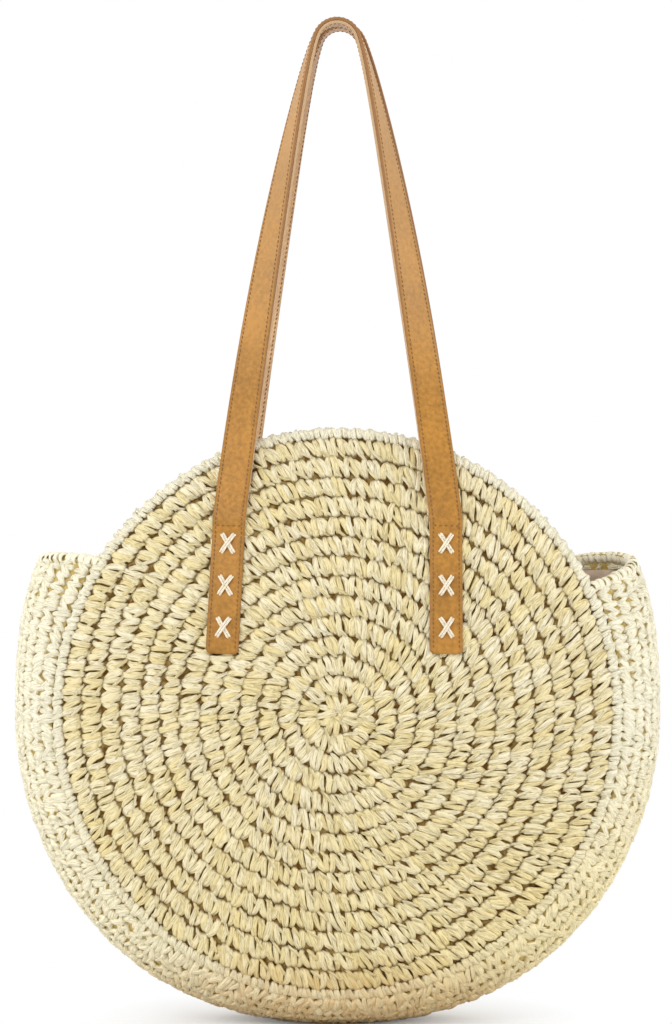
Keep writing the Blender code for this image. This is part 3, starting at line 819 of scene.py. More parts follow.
def crochet_tree(layers):
    """Instances strands along rows, over a core."""
    tree, given, result = new_tree("Crochet Rows", {
        "Stitch": 9.8 * MM, "Lean": math.radians(13), "Lean Spread": math.radians(11), "Size Spread": 0.15,
        "Lift Spread": 0.5 * MM, "Seed": 7, "Strands": "collection", "Core": "object", "Straw": "material",
    })
    rows = spaced_rows(tree, given["Geometry"], given["Stitch"])
    up, tangent, facing = row_directions(tree)
    over = vector_maths(tree, "CROSS_PRODUCT", up, tangent)
    slant = add_node(tree, "GeometryNodeInputNamedAttribute", {"Name": "slant"}, data_type="FLOAT")
    row_lean = maths(tree, "MULTIPLY", given["Lean"], slant)
    strands = add_node(tree, "GeometryNodeCollectionInfo", {
        "Collection": given["Strands"], "Separate Children": True, "Reset Children": True,
    })
    joined = tree.nodes.new("GeometryNodeJoinGeometry")
    for number, layer in enumerate(layers):
        seeds = [maths(tree, "ADD", given["Seed"], SEEDS_PER_LAYER * number + salt) for salt in range(9)]

        def drawn(size, salt):
            return random_between(tree, -size, size, seeds[salt])

        def spread(label, salt, middle):
            return maths(tree, "MULTIPLY_ADD", given[label], drawn(1.0, salt), middle)

        lift = spread("Lift Spread", 0, layer.height)
        forward = maths(tree, "MULTIPLY", given["Stitch"], maths(tree, "ADD", layer.shift, drawn(SHIFT_SPREAD, 1)))
        offset = vector_maths(tree, "ADD", scaled(tree, tangent, forward), scaled(tree, up, lift))
        offset = vector_maths(tree, "ADD", offset, scaled(tree, over, layer.over))
        lean = maths(tree, "MULTIPLY_ADD", row_lean, layer.lean, layer.turn)
        upright = maths(tree, "COSINE", lean)
        size = add_node(tree, "ShaderNodeCombineXYZ", {
            "X": maths(tree, "MULTIPLY", spread("Size Spread", 5, 1.0), upright),
            "Y": maths(tree, "DIVIDE", spread("Size Spread", 6, 1.0), upright), "Z": 1.0,
        })
        placed = add_node(tree, "GeometryNodeInstanceOnPoints", {
            "Points": add_node(tree, "GeometryNodeSetPosition", {"Geometry": rows, "Offset": offset}),
            "Instance": strands, "Pick Instance": True,
            "Instance Index": add_node(tree, "FunctionNodeRandomValue", {
                4: layer.first, 5: layer.last, "Seed": seeds[7],
            }, data_type="INT"),
            "Rotation": turned(tree, facing, {
                "X": drawn(NOD_SPREAD, 2), "Y": drawn(ROLL_SPREAD, 3), "Z": spread("Lean Spread", 4, lean),
            }),
            "Scale": size,
        })
        toned_strands = add_node(tree, "GeometryNodeStoreNamedAttribute", {
            "Geometry": placed, "Name": "strand_tone", "Value": random_between(tree, 0.0, 1.0, seeds[8]),
        }, data_type="FLOAT", domain="INSTANCE")
        tree.links.new(toned_strands, joined.inputs[0])
    real = add_node(tree, "GeometryNodeRealizeInstances", {"Geometry": joined.outputs[0]})
    straw = add_node(tree, "GeometryNodeSetMaterial", {"Geometry": real, "Material": given["Straw"]})
    core = add_node(tree, "GeometryNodeObjectInfo", {"Object": given["Core"]}, "Geometry")
    together = tree.nodes.new("GeometryNodeJoinGeometry")
    tree.links.new(straw, together.inputs[0])
    tree.links.new(core, together.inputs[0])
    tree.links.new(together.outputs[0], result)
    return tree


def crocheted(name, lines, layers, strands, settings, straw, core, **values):
    """A piece of crochet over its core, as one plain mesh. Values go to the inputs of the tree."""
    material = bpy.data.materials[straw]
    collection = bpy.data.collections.new(f"{name}_strands")
    for strand in strands:
        strand.materials.append(material)
        collection.objects.link(bpy.data.objects.new(strand.name, strand))
    inputs = {
        "Stitch": settings.stitch, "Lean": settings.lean, "Strands": collection,
        "Core": link(f"{name}_core", core), "Straw": material,
    }
    inputs.update({label.replace("_", " "): value for label, value in values.items()})
    mesh = evaluated_mesh(guide_object(f"{name}_guide", lines), crochet_tree(layers), inputs, name)
    return link(name, clear_floor(mesh))


def yarn_core(form, rule, depth, thickness, material):
    """The crochet's inner yarn, as a shell whose outer side lies at a depth below the strands."""
    core = shell("core", form, rule, -depth, thickness)
    core.materials.append(bpy.data.materials[material])
    return core


def evenly(first, last, count):
    return [first + (last - first) * number / count for number in range(count + 1)]


def round_line(placing, ring, height, facing=1):
    """Points over a disc at (radius, angle) places round its middle, and the ways that they face."""
    turn = placing.to_3x3()
    places = [on_circle(radius, angle) for radius, angle in ring]
    points = [placing @ on_panel(x, z, height) for x, z in places]
    return points, [turn @ (panel_normal(x, z) * facing) for x, z in places]


ROUND_CORNERS = 96
FIRST_ROUND_RADIUS = 0.55
ROUND_START = 2.4
LEAN_GAIN = 0.2
LEAN_SWING = 0.35
DISC_STRAND_SHARE = 1.03
LOOP_LENGTH = 7.5 * MM
LOOP_WIDTH_SHARE = 0.8
INNER_ROUNDS = (0.5, 1.5)
INNER_STRAND_HEIGHT = 0.6 * MM - STRAW_THICKNESS
DISC_YARN_GRID = (72, 10)
DISC_YARN_DEPTH = 2.2 * MM
DISC_YARN_THICKNESS = STRAW_THICKNESS - 3.0 * MM
DISC_SEEDS = {"front": 0, "back": 50}


class BAG_OT_discs(bpy.types.Operator):
    """Crochets the two domed discs in rounds from their middles"""
    bl_idname = "straw_bag.discs"
    bl_label = "Discs"

    def execute(self, context):
        settings = context.scene.straw_settings
        pitch = PANEL_RADIUS / settings.rounds
        for face, placing in FACES:
            seed = DISC_SEEDS[face]
            lines = []
            for number in range(settings.rounds):
                radius = pitch * (number + 0.5 if number else FIRST_ROUND_RADIUS)
                start = ROUND_START * number + seed
                angles = [start - math.tau * corner / ROUND_CORNERS for corner in range(ROUND_CORNERS)]
                lean = min(LEAN_GAIN * (number + 1), 1.0)
                slants = [lean * (1 + LEAN_SWING * math.sin(angle)) for angle in angles]
                lines.append((*round_line(placing, [(radius, angle) for angle in angles], 0.0), True, slants))
            reach = GUSSET_END_ANGLE - LINING_TUCK_ANGLE
            for number in INNER_ROUNDS:
                angles = evenly(reach, math.tau - reach, ROUND_CORNERS // 2)
                ring = [(PANEL_RADIUS - pitch * number, angle) for angle in angles]
                lines.append((*round_line(placing, ring, INNER_STRAND_HEIGHT, -1), False, 1))
            core = yarn_core(
                spun_disc(*DISC_YARN_GRID), disc_rule(lambda angle: PANEL_RADIUS),
                DISC_YARN_DEPTH, DISC_YARN_THICKNESS, "straw_depth",
            )
            core.transform(placing)
            strands = straw_strands(settings, pitch * DISC_STRAND_SHARE)
            strands += short_strands(LOOP_LENGTH, settings.strand * LOOP_WIDTH_SHARE, len(strands))
            piece = crocheted(
                f"{face}_straw_disc", lines, (*DISC_LAYERS, LOOP_LAYER), strands, settings, "crochet_straw", core,
                Seed=settings.seed + seed,
            )
            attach(piece, "bag")
            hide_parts(f"{face}_panel")
        return {"FINISHED"}


ROW_END = math.radians(2.2)
ROW_CORNERS = 120
ROW_SPREAD = 1.01
INNER_ROW_HEIGHT = 0.7 * MM - STRAW_THICKNESS
BINDING_SETBACK = math.radians(0.95)
BINDING_CORNERS = 24
GUSSET_STRAND_LENGTH = 10.6 * MM
GUSSET_STRAND_WIDTH = 4.4 * MM
GUSSET_YARN_GRID = (90, 16)
GUSSET_YARN_DEPTH = 1.5 * MM
GUSSET_YARN_THICKNESS = STRAW_THICKNESS - 2.3 * MM
GUSSET_SEED = 100
BINDING_SEED = 150


class BAG_OT_gusset(bpy.types.Operator):
    """Crochets the gusset in rows from one end to the other, and binds its ends"""
    bl_idname = "straw_bag.gusset"
    bl_label = "Gusset"

    def execute(self, context):
        settings = context.scene.straw_settings
        reach = GUSSET_END_ANGLE - ROW_END
        inner_start = reach - LINING_TUCK_ANGLE
        lines = []
        for number in range(settings.rows):
            across = ((2 * number + 1) / settings.rows - 1) * ROW_SPREAD
            way = 1 if number % 2 else -1
            lines.append(self.row(evenly(-reach, reach, ROW_CORNERS), across, 0.0, 1, way))
            for side in (-1, 1):
                angles = evenly(side * inner_start, side * reach, 4)
                lines.append(self.row(angles, across, INNER_ROW_HEIGHT, -1, way))
        core = yarn_core(
            flat_grid(*GUSSET_YARN_GRID), band_rule(GUSSET_END_ANGLE),
            GUSSET_YARN_DEPTH, GUSSET_YARN_THICKNESS, "gusset_depth",
        )
        strands = short_strands(GUSSET_STRAND_LENGTH, GUSSET_STRAND_WIDTH)
        piece = crocheted(
            "straw_gusset", lines, GUSSET_LAYERS, strands, settings, "gusset_straw", core,
            Stitch=6.0 * MM, Lean=math.radians(10), Lean_Spread=math.radians(44), Size_Spread=0.2,
            Seed=settings.seed + GUSSET_SEED,
        )
        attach(piece, "bag")
        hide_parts("gusset")
        self.bind_ends(settings)
        return {"FINISHED"}

    def row(self, angles, across, height, facing, way):
        points = [on_gusset(angle, across, height) for angle in angles]
        return points, [gusset_normal(angle, across) * facing for angle in angles], False, way

    def bind_ends(self, settings):
        """Wraps strands over the gusset's two end edges."""
        lines = []
        for side in (-1, 1):
            angle = side * (GUSSET_END_ANGLE - BINDING_SETBACK)
            points, ups = [], []
            for across in evenly(-1, 1, BINDING_CORNERS):
                points.append(on_gusset(angle, across, -STRAW_THICKNESS / 2))
                ahead = gusset_point(angle + side * GUSSET_STEP, across) - gusset_point(angle, across)
                ups.append(ahead.normalized())
            lines.append((points, ups, False, side))
        piece = crocheted(
            "gusset_end_bindings", lines, WRAP_LAYERS, [wrap_mesh(seed) for seed in range(3)], settings,
            "gusset_straw", self.hidden_bar(*lines[0][:2]),
            Stitch=4.4 * MM, Lean=math.radians(24), Lift_Spread=0.3 * MM, Seed=settings.seed + BINDING_SEED,
        )
        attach(piece, "bag")

    def hidden_bar(self, points, ups):
        """The bindings' only yarn: a bar, one step long, inside the first strands of the left end."""
        bar = loft([
            [point + up * MM, point - up * MM, point + Vector((0, MM, 0))] for point, up in zip(points[:2], ups)
        ])
        bar.materials.append(bpy.data.materials["straw_depth"])
        return bar


def twisted_cord_tree():
    """Sweeps a section of three plies along a closed line, turning it all the way."""
    tree, given, result = new_tree("Twisted Cord", {
        "Step": 2.2 * MM, "Turns": 42, "Section": "object", "Straw": "material",
    })
    line = spaced_rows(tree, given["Geometry"], given["Step"])
    share = add_node(tree, "GeometryNodeSplineParameter", {}, "Factor")
    tilt = maths(tree, "MULTIPLY", maths(tree, "MULTIPLY", share, given["Turns"]), math.tau)
    tilted = add_node(tree, "GeometryNodeSetCurveTilt", {"Curve": line, "Tilt": tilt})
    section = add_node(tree, "GeometryNodeObjectInfo", {"Object": given["Section"]}, "Geometry")
    section = add_node(tree, "GeometryNodeMeshToCurve", {"Mesh": section})
    swept = add_node(tree, "GeometryNodeCurveToMesh", {"Curve": tilted, "Profile Curve": section})
    real = add_node(tree, "GeometryNodeRealizeInstances", {"Geometry": swept})
    smooth = add_node(tree, "GeometryNodeSetShadeSmooth", {"Geometry": real})
    straw = add_node(tree, "GeometryNodeSetMaterial", {"Geometry": smooth, "Material": given["Straw"]})
    tree.links.new(straw, result)
    return tree


def ply_section(radius, plies=3, corners=18):
    """Outline of a cord's section in its own plane: one bulge for each ply."""
    mesh = bpy.data.meshes.new("cord_section")
    places, across = [], []
    for corner in range(corners):
        turn = math.tau * corner / corners
        bulge = abs(math.sin(turn * plies / 2))
        reach = radius * (0.8 + 0.2 * bulge)
        places.append((reach * math.cos(turn), reach * math.sin(turn), 0.0))
        across.append(1 - bulge)
    mesh.from_pydata(places, [(n, (n + 1) % corners) for n in range(corners)], [])
    return link("cord_section", tag_points(mesh, strand_across=across))


EDGING_CORNERS = 120
EDGING_INWARD = 0.5 * MM
EDGING_SWELL = 0.1 * MM
EDGING_STRAND_LENGTH = 7.8 * MM
EDGING_STRAND_SHARE = 0.8
EDGING_SEEDS = {"front": 200, "back": 260}


class BAG_OT_edgings(bpy.types.Operator):
    """Lays the cord that closes each disc, and crochets the narrow last round over it"""
    bl_idname = "straw_bag.edgings"
    bl_label = "Edgings"

    def execute(self, context):
        settings = context.scene.straw_settings
        angles = [-math.tau * corner / EDGING_CORNERS for corner in range(EDGING_CORNERS)]
        middles = [PANEL_RADIUS + rim_step(angle, STRAW_GAP + EDGING_DIAMETER / 2) for angle in angles]
        inner = [middle - EDGING_INWARD for middle in middles]
        for face, placing in FACES:
            centres, ups = round_line(placing, zip(middles, angles), -STRAW_THICKNESS / 2)
            points, _ = round_line(placing, zip(inner, angles), 0.0)
            guide = guide_object(f"{face}_cord_guide", [(centres, ups, True, 1)])
            cord = evaluated_mesh(guide, twisted_cord_tree(), {
                "Section": ply_section(EDGING_DIAMETER / 2 + EDGING_SWELL),
                "Straw": bpy.data.materials["gusset_straw"],
            }, f"{face}_cord")
            piece = crocheted(
                f"{face}_straw_edging", [(points, ups, True, 1)], DISC_LAYERS,
                straw_strands(settings, EDGING_STRAND_LENGTH, EDGING_STRAND_SHARE), settings, "gusset_straw", cord,
                Stitch=9.0 * MM, Seed=settings.seed + EDGING_SEEDS[face],
            )
            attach(piece, "bag")
            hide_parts(f"{face}_edging")
        return {"FINISHED"}


# Lining

LINING_DISC_GRID = (120, 30)
LINING_BAND_GRID = (140, 22)
SNAP_BELOW_RIM = 30 * MM
CALM_FROM, CALM_TO = 14 * MM, 40 * MM
FOLD_SCALES = (38, 12, 9)
FOLD_SHARE = 0.25


def lining_rim(angle):
    """Radius of the lining discs: over the seam where the gusset is, and below the free rim."""
    turn = abs(math.remainder(angle, math.tau))
    sewn = gusset_start_radius(turn) - rim_step(turn, STRAW_GAP)
    free = PANEL_RADIUS - LINING_BELOW_RIM
    rise_start = GUSSET_END_ANGLE - LINING_TUCK_ANGLE
    rise_end = rise_start + LINING_RISE_ANGLE
    return eased(turn, ((0.0, sewn), (rise_start, sewn), (rise_end, free), (math.pi, free)))


def slack(place, fold):
    """Soft folds that fall from the mouth, and none on the outside or round the snap."""
    away = math.hypot(place.x, place.z - (CENTRE_HEIGHT + PANEL_RADIUS - SNAP_BELOW_RIM))
    calm = eased(away, ((CALM_FROM, 0.0), (CALM_TO, 1.0)))
    wave = noise.noise(Vector([part * scale for part, scale in zip(place, FOLD_SCALES)]))
    return fold * calm * max(0.0, wave + FOLD_SHARE)


def disc_flat(place):
    return place.x, place.z


def band_flat(place):
    """Length round the bag, and distance across the band."""
    angle = math.atan2(place.x, CENTRE_HEIGHT - place.z)
    return angle * math.hypot(place.x, place.z - CENTRE_HEIGHT), place.y


def lining_sheet(form, rule, fold, flat_place):
    """A lining sheet with its folds, and a cloth map in metres from its flat form."""
    height = -(STRAW_THICKNESS + LINING_SPACE)

    def place(flat, level):
        return rule(flat, level - slack(rule(flat, height), fold))

    mesh = shell("lining", form, place, height, LINING_THICKNESS)
    uv = mesh.uv_layers.new(name="cloth")
    for loop in mesh.loops:
        uv.data[loop.index].uv = flat_place(mesh.vertices[loop.vertex_index].co)
    return mesh


class BAG_OT_lining(bpy.types.Operator):
    """Sews the cloth lining: two discs and a band"""
    bl_idname = "straw_bag.lining"
    bl_label = "Lining"

    def execute(self, context):
        settings = context.scene.lining_settings
        cloth = cloth_material(settings.cloth)
        for face, _ in FACES:
            mesh = lining_sheet(spun_disc(*LINING_DISC_GRID), disc_rule(lining_rim), settings.fold, disc_flat)
            piece = link(f"{face}_lining_cloth", mirrored(mesh) if face == "back" else mesh, cloth)
            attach(piece, "bag")
            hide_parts(f"{face}_lining")
        band = band_rule(GUSSET_END_ANGLE - LINING_TUCK_ANGLE)
        mesh = lining_sheet(flat_grid(*LINING_BAND_GRID), band, settings.fold, band_flat)
        piece = link("gusset_lining_cloth", mesh, cloth)
        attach(piece, "bag")
        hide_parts("gusset_lining")
        return {"FINISHED"}


# Leather handles

LEG_POINTS = 72
ARC_POINTS = 18
TAB_POINTS = 34
STRAP_CORNER = 0.55 * MM
STRAP_END_ROUND = 1.6 * MM
BACKING_DROP = -(LEATHER_THICKNESS + CLEARANCE) + 0.15 * MM
SEAM_TRIM = 2
CROSS_SEAM = (-0.85, 0.0, 0.85)
STITCH_SHARE = 0.74
THREAD_RADIUS = 0.36 * MM
# (along, size, height) from end to end of one stitch, which dips into the leather
THREAD_FORM = ((-0.5, 0.45, -0.9), (-0.38, 0.85, -0.1), (0.0, 1.0, 0.25), (0.38, 0.85, -0.1), (0.5, 0.45, -0.9))
THREAD_CORNERS = 6


def tab_place(shift, side, below_top):
    """Where a point of a sewn end's middle line lies on the disc's flat outline."""
    lean = RIGHT_TAB_LEAN if side > 0 else LEFT_TAB_LEAN
    top = Vector((shift + side * HANDLE_SPREAD / 2, CENTRE_HEIGHT + TAB_TOP_RISE))
    return top + Vector((side * math.sin(lean), -math.cos(lean))) * below_top


def tab_height(below_top):
    """Height of the sewn end's mid thickness over the straw: it steps up over the backing's end."""
    seated = CLEARANCE + LEATHER_THICKNESS / 2
    step = LEATHER_THICKNESS + CLEARANCE
    return seated + eased(below_top, ((0.0, step), (TAB_STEP_LENGTH, 0.0), (TAB_LENGTH, 0.0)))


def tab_point(shift, side, below_top):
    return on_panel(*tab_place(shift, side, below_top), tab_height(below_top))


def squared(outward, along):
    """The outward direction, made square to the way along."""
    return (outward - along * outward.dot(along)).normalized()


def tab_station(shift, side, below_top):
    """Point, upward direction and outward direction of a sewn end at a distance below its top."""
    above = tab_point(shift, side, below_top - STRAP_STEP)
    below = tab_point(shift, side, below_top + STRAP_STEP)
    along = (above - below).normalized()
    outward = panel_normal(*tab_place(shift, side, below_top))
    return tab_point(shift, side, below_top), along, squared(outward, along)


def apex_point(shift, turn):
    """Middle of the handle's face layer at an angle from the top of its bend, positive to the right."""
    across = shift + APEX_SHIFT + APEX_RADIUS * math.sin(turn)
    height = CENTRE_HEIGHT + TAB_TOP_RISE + HANDLE_RISE - APEX_RADIUS * (1 - math.cos(turn))
    return Vector((across, -STRAP_WIDTH / 2 - CLEARANCE, height))


def handle_leg(shift, side):
    """Points of one leg's face layer, from just above its sewn end to the bend's arc."""
    point, along, _ = tab_station(shift, side, 0.0)
    start = point + along * CLEARANCE
    end = apex_point(shift, side * APEX_ARC)
    leave = Vector((-side * math.sin(SEAT_LEAN), along.y, math.cos(SEAT_LEAN))).normalized()
    arrive = Vector((side * math.cos(APEX_ARC), 0, -math.sin(APEX_ARC)))
    return interpolate_bezier(start, start + leave * SEAT_REACH, end + arrive * APEX_REACH, end, LEG_POINTS)


def neighbours(points, number):
    """The points before and after one. At an end of the row it is its own neighbour."""
    return points[max(number - 1, 0)], points[min(number + 1, len(points) - 1)]


def handle_stations(shift):
    """The loop from left to right: its face turns from the front to the outside of the loop."""
    arc = [2 * APEX_ARC * number / ARC_POINTS - APEX_ARC for number in range(1, ARC_POINTS)]
    points = [*handle_leg(shift, -1), *(apex_point(shift, turn) for turn in arc), *handle_leg(shift, 1)[::-1]]
    apex = apex_point(shift, 0.0)
    seats = {side: tab_station(shift, side, 0.0) for side in (-1, 1)}
    stations = []
    for number, point in enumerate(points):
        before, after = neighbours(points, number)
        along = (after - before).normalized()
        seat = seats[-1 if point.x < apex.x else 1][2]
        start_twist = math.atan2(abs(seat.x), -seat.y)
        share = max(0.0, (point.z - points[0].z) / (apex.z - points[0].z))
        twist = start_twist + (math.pi / 2 - start_twist) * share ** TWIST_POWER
        outward = Vector((0, -1, 0)) * math.cos(twist) + Vector((-along.z, 0, along.x)) * math.sin(twist)
        stations.append((point, along, squared(outward, along)))
    for number, side in ((0, -1), (-1, 1)):
        _, along, outward = seats[side]
        stations[number] = (stations[number][0], -side * along, outward)
    return stations


def whole_strap_stations(shift, loop):
    """The face layer from the bottom of the left sewn end, round the loop, to that of the right one."""
    stops = [TAB_LENGTH * (number / TAB_POINTS) for number in range(1, TAB_POINTS + 1)]
    left = [tab_station(shift, -1, stop) for stop in reversed(stops)]
    right = [tab_station(shift, 1, stop) for stop in stops]
    return left + loop + [(point, -along, outward) for point, along, outward in right]


def strap_outline():
    """Rounded section of the leather as (across, up) points, anticlockwise from the lower left."""
    side, level = STRAP_WIDTH / 2, LEATHER_THICKNESS / 2
    points = []
    for corner_x, corner_y, start in ((side, -level, -90), (side, level, 0), (-side, level, 90), (-side, -level, 180)):
        middle_x = corner_x - math.copysign(STRAP_CORNER, corner_x)
        middle_y = corner_y - math.copysign(STRAP_CORNER, corner_y)
        for step in range(3):
            turn = math.radians(start + 45 * step)
            points.append((middle_x + STRAP_CORNER * math.cos(turn), middle_y + STRAP_CORNER * math.sin(turn)))
    crown = [(STRAP_WIDTH * share, level) for share in (0.3, 0.1, -0.1, -0.3)]
    base = [(STRAP_WIDTH * share, -level) for share in (-0.3, -0.1, 0.1, 0.3)]
    return points[:6] + crown + points[6:] + base


def strap_mesh(name, stations, rise, end_round=0.0):
    """A leather strap with rounded edges, whose map gives metres across and along it."""
    outline = strap_outline()
    total = sum((b[0] - a[0]).length for a, b in zip(stations, stations[1:]))
    travelled, previous = 0.0, stations[0][0]
    rings, places = [], []
    for point, along, outward in stations:
        travelled += (point - previous).length
        previous = point
        wide = along.cross(outward).normalized()
        near_end = min(travelled, total - travelled)
        narrow = 0.0
        if end_round and near_end < end_round:
            narrow = end_round - math.sqrt(end_round ** 2 - (end_round - near_end) ** 2)
        share = 1 - 2 * narrow / STRAP_WIDTH
        centre = point + outward * rise
        rings.append([centre + wide * (across * share) + outward * up for across, up in outline])
        places += [(across, travelled) for across, _ in outline]
    mesh = loft(rings, name=name)
    uv = mesh.uv_layers.new(name="strap")
    for loop in mesh.loops:
        uv.data[loop.index].uv = places[loop.vertex_index]
    return mesh


def stitch_tree():
    """Instances threads along seams."""
    tree, given, result = new_tree("Saddle Stitches", {
        "Stitch": 2.9 * MM, "Slant": math.radians(9), "Seed": 3, "Thread": "object", "Material": "material",
    })
    seams = spaced_rows(tree, given["Geometry"], given["Stitch"])
    _, _, facing = row_directions(tree)
    slant = maths(tree, "ADD", given["Slant"], random_between(tree, -0.05, 0.05, given["Seed"]))
    thread = add_node(tree, "GeometryNodeObjectInfo", {"Object": given["Thread"], "As Instance": True}, "Geometry")
    placed = add_node(tree, "GeometryNodeInstanceOnPoints", {
        "Points": seams, "Instance": thread, "Rotation": turned(tree, facing, {"Z": slant}),
    })
    real = add_node(tree, "GeometryNodeRealizeInstances", {"Geometry": placed})
    sewn = add_node(tree, "GeometryNodeSetMaterial", {"Geometry": real, "Material": given["Material"]})
    tree.links.new(sewn, result)
    return tree


def thread_mesh(length):
    """One short thread along X that dips into the leather at both ends."""
    turns = [math.tau * corner / THREAD_CORNERS for corner in range(THREAD_CORNERS)]
    return loft([
        [
            Vector((
                along * length, THREAD_RADIUS * size * math.cos(turn), THREAD_RADIUS * (height + size * math.sin(turn)),
            )) for turn in turns
        ] for along, size, height in THREAD_FORM
    ], name="thread")


def fold_over(piece, face):
    """The piece is sewn to the bag below the fold line. This bakes its place into its mesh; the handle's hinge is read
    but not used, so the part above the fold does not go with the handle.
    """
    joint = next(j for j in frame["record"]["behaviour"]["joints"] if j["child"] == f"{face}_handle")
    hinge = Vector(joint["pos_m"])
    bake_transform(piece)


class BAG_OT_handles(bpy.types.Operator):
    """Cuts and sews the two leather handles, each a face layer on a backing layer"""
    bl_idname = "straw_bag.handles"
    bl_label = "Handles"

    def execute(self, context):
        settings = context.scene.leather_settings
        face_leather = leather_material("leather_face", settings.face, settings.edge)
        back_leather = leather_material("leather_backing", settings.backing, toned(settings.backing, 0.66))
        thread = thread_material("saddle_thread", settings.thread, fibre_scale=1800.0)
        for face, shift in HANDLE_SHIFTS.items():
            loop = handle_stations(shift)
            whole = whole_strap_stations(shift, loop)
            strap = strap_mesh(f"{face}_strap", whole, 0.0, STRAP_END_ROUND)
            backing = strap_mesh(f"{face}_backing", loop, BACKING_DROP)
            seams = self.seam_mesh(settings, whole, loop, thread)
            if face == "back":
                strap, backing, seams = mirrored(strap), mirrored(backing), mirrored(seams)
            strap = link(f"{face}_leather_strap", strap, face_leather)
            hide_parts(f"{face}_handle_face", f"{face}_left_tab", f"{face}_right_tab")
            backing = link(f"{face}_strap_backing", backing, back_leather)
            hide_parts(f"{face}_handle_backing")
            seams = link(f"{face}_strap_seams", seams)
            for piece in (strap, backing, seams):
                fold_over(piece, face)
        return {"FINISHED"}

    def seam_mesh(self, settings, whole, loop, thread):
        """Two rows of saddle stitches on the face and on the backing, and one across each sewn end's top."""
        reach = STRAP_WIDTH / 2 - settings.margin
        level = LEATHER_THICKNESS / 2
        lines = []
        for stations, height, facing in ((whole, level, 1), (loop, BACKING_DROP - level, -1)):
            for side in (-1, 1):
                points, ups = [], []
                for point, along, outward in stations[SEAM_TRIM:-SEAM_TRIM]:
                    wide = along.cross(outward).normalized()
                    points.append(point + wide * (side * reach) + outward * height)
                    ups.append(outward * facing)
                lines.append((points, ups, False, 1))
        for number in (TAB_POINTS - 1, len(whole) - TAB_POINTS):
            point, along, outward = whole[number]
            wide = along.cross(outward).normalized()
            row = [point + wide * (reach * share) + outward * level for share in CROSS_SEAM]
            lines.append((row, [outward] * 3, False, 1))
        return evaluated_mesh(guide_object("seam_guide", lines), stitch_tree(), {
            "Stitch": settings.stitch, "Material": thread,
            "Thread": link("thread_template", thread_mesh(settings.stitch * STITCH_SHARE)),
        }, "seams")


# Crossed cords

CORD_LIFT = 0.1 * CORD_DIAMETER
CORD_DIP = 0.7 * LEATHER_THICKNESS
CORD_ARCH = ((0.12, 0.72), (0.5, 1.0), (0.88, 0.72))
CORD_LAY = 4.2 * MM
CORD_CORNERS = 10
CORD_POINTS = 5
CORD_WAIST, CORD_RIDGE = 0.86, 0.16
STRANDS_TOGETHER = 0.98
PINCH_START, PINCH_GAIN = 0.35, 1.3
LOWER_ARM_TOP = 1.05
UPPER_ARM_TOP = 2.5


def cross_arms(shift, side, number):
    """Start and end of a cross's lower and upper arm on the leather, and the way out of it."""
    pitch = (TAB_LENGTH - CROSS_TOP_MARGIN - CROSS_END_MARGIN) / (CROSS_COUNT - 1)
    point, along, outward = tab_station(shift, side, CROSS_TOP_MARGIN + number * pitch)
    face = point + outward * (LEATHER_THICKNESS / 2)
    across, up = along.cross(outward).normalized() * (CROSS_WIDTH / 2), along * (CROSS_HEIGHT / 2)
    return ((face - across + up, face + across - up), (face + across + up, face - across - up)), outward


def cord_path(start, end, outward, top):
    """A cord up through one hole, over the leather to a height at its middle, and down the other."""
    lift, below = outward * CORD_LIFT, outward * -CORD_DIP
    arch = [start.lerp(end, share) + outward * top * rise for share, rise in CORD_ARCH]
    knots = [start + below, start + lift, *arch, end + lift, end + below]
    points = []
    for number, (first, second) in enumerate(zip(knots, knots[1:])):
        leave = (second - neighbours(knots, number)[0]) / 6
        arrive = (neighbours(knots, number + 1)[1] - first) / 6
        points += interpolate_bezier(first, first + leave, second - arrive, second, CORD_POINTS)[:-1]
    return points + [knots[-1]]


def cord_rings(path, outward, way, radius):
    """Rings of one strand of a doubled cord. The strand is itself two plies laid with a twist."""
    wide = (path[-1] - path[0]).cross(outward).normalized()
    rings = []
    travelled = 0.0
    for number, point in enumerate(path):
        before, after = neighbours(path, number)
        travelled += (point - before).length
        level = (after - before).cross(wide).normalized()
        lay = math.tau * travelled / CORD_LAY
        pinch = min(1.0, PINCH_START + PINCH_GAIN * min(number, len(path) - 1 - number) / CORD_POINTS)
        centre = point + wide * (way * radius * STRANDS_TOGETHER * pinch)
        ring = []
        for turn in (math.tau * corner / CORD_CORNERS for corner in range(CORD_CORNERS)):
            reach = radius * (CORD_WAIST + CORD_RIDGE * abs(math.cos(turn - lay)))
            ring.append(centre + wide * (reach * math.cos(turn)) + level * (reach * math.sin(turn)))
        rings.append(ring)
    return rings


def cross_mesh(shift, side, number):
    """One cross: two doubled cords, the second of them arched over the first."""
    radius = CORD_DIAMETER / 2
    arms, outward = cross_arms(shift, side, number)
    form = bmesh.new()
    for (start, end), top in zip(arms, (LOWER_ARM_TOP, UPPER_ARM_TOP)):
        path = cord_path(start, end, outward, radius * top)
        for way in (-1, 1):
            strand = loft(cord_rings(path, outward, way, radius))
            form.from_mesh(strand)
            bpy.data.meshes.remove(strand)
    mesh = bpy.data.meshes.new("cross")
    form.to_mesh(mesh)
    form.free()
    mesh.shade_smooth()
    return mesh


class BAG_OT_crosses(bpy.types.Operator):
    """Ties the crossed cords that hold the handles' sewn ends"""
    bl_idname = "straw_bag.crosses"
    bl_label = "Crossed cords"

    def execute(self, context):
        colour = context.scene.cord_settings.cord
        cord = thread_material("cross_cord", colour, fibre_scale=900.0, roughness=0.7)
        for (face, shift), (side, side_name), number in product(HANDLE_SHIFTS.items(), SIDES, range(CROSS_COUNT)):
            mesh = cross_mesh(shift, side, number)
            node = f"{face}_{side_name}_cross_{number + 1}"
            piece = link(f"{node}_cords", mirrored(mesh) if face == "back" else mesh, cord)
            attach(piece, "bag")
            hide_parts(node)
        return {"FINISHED"}


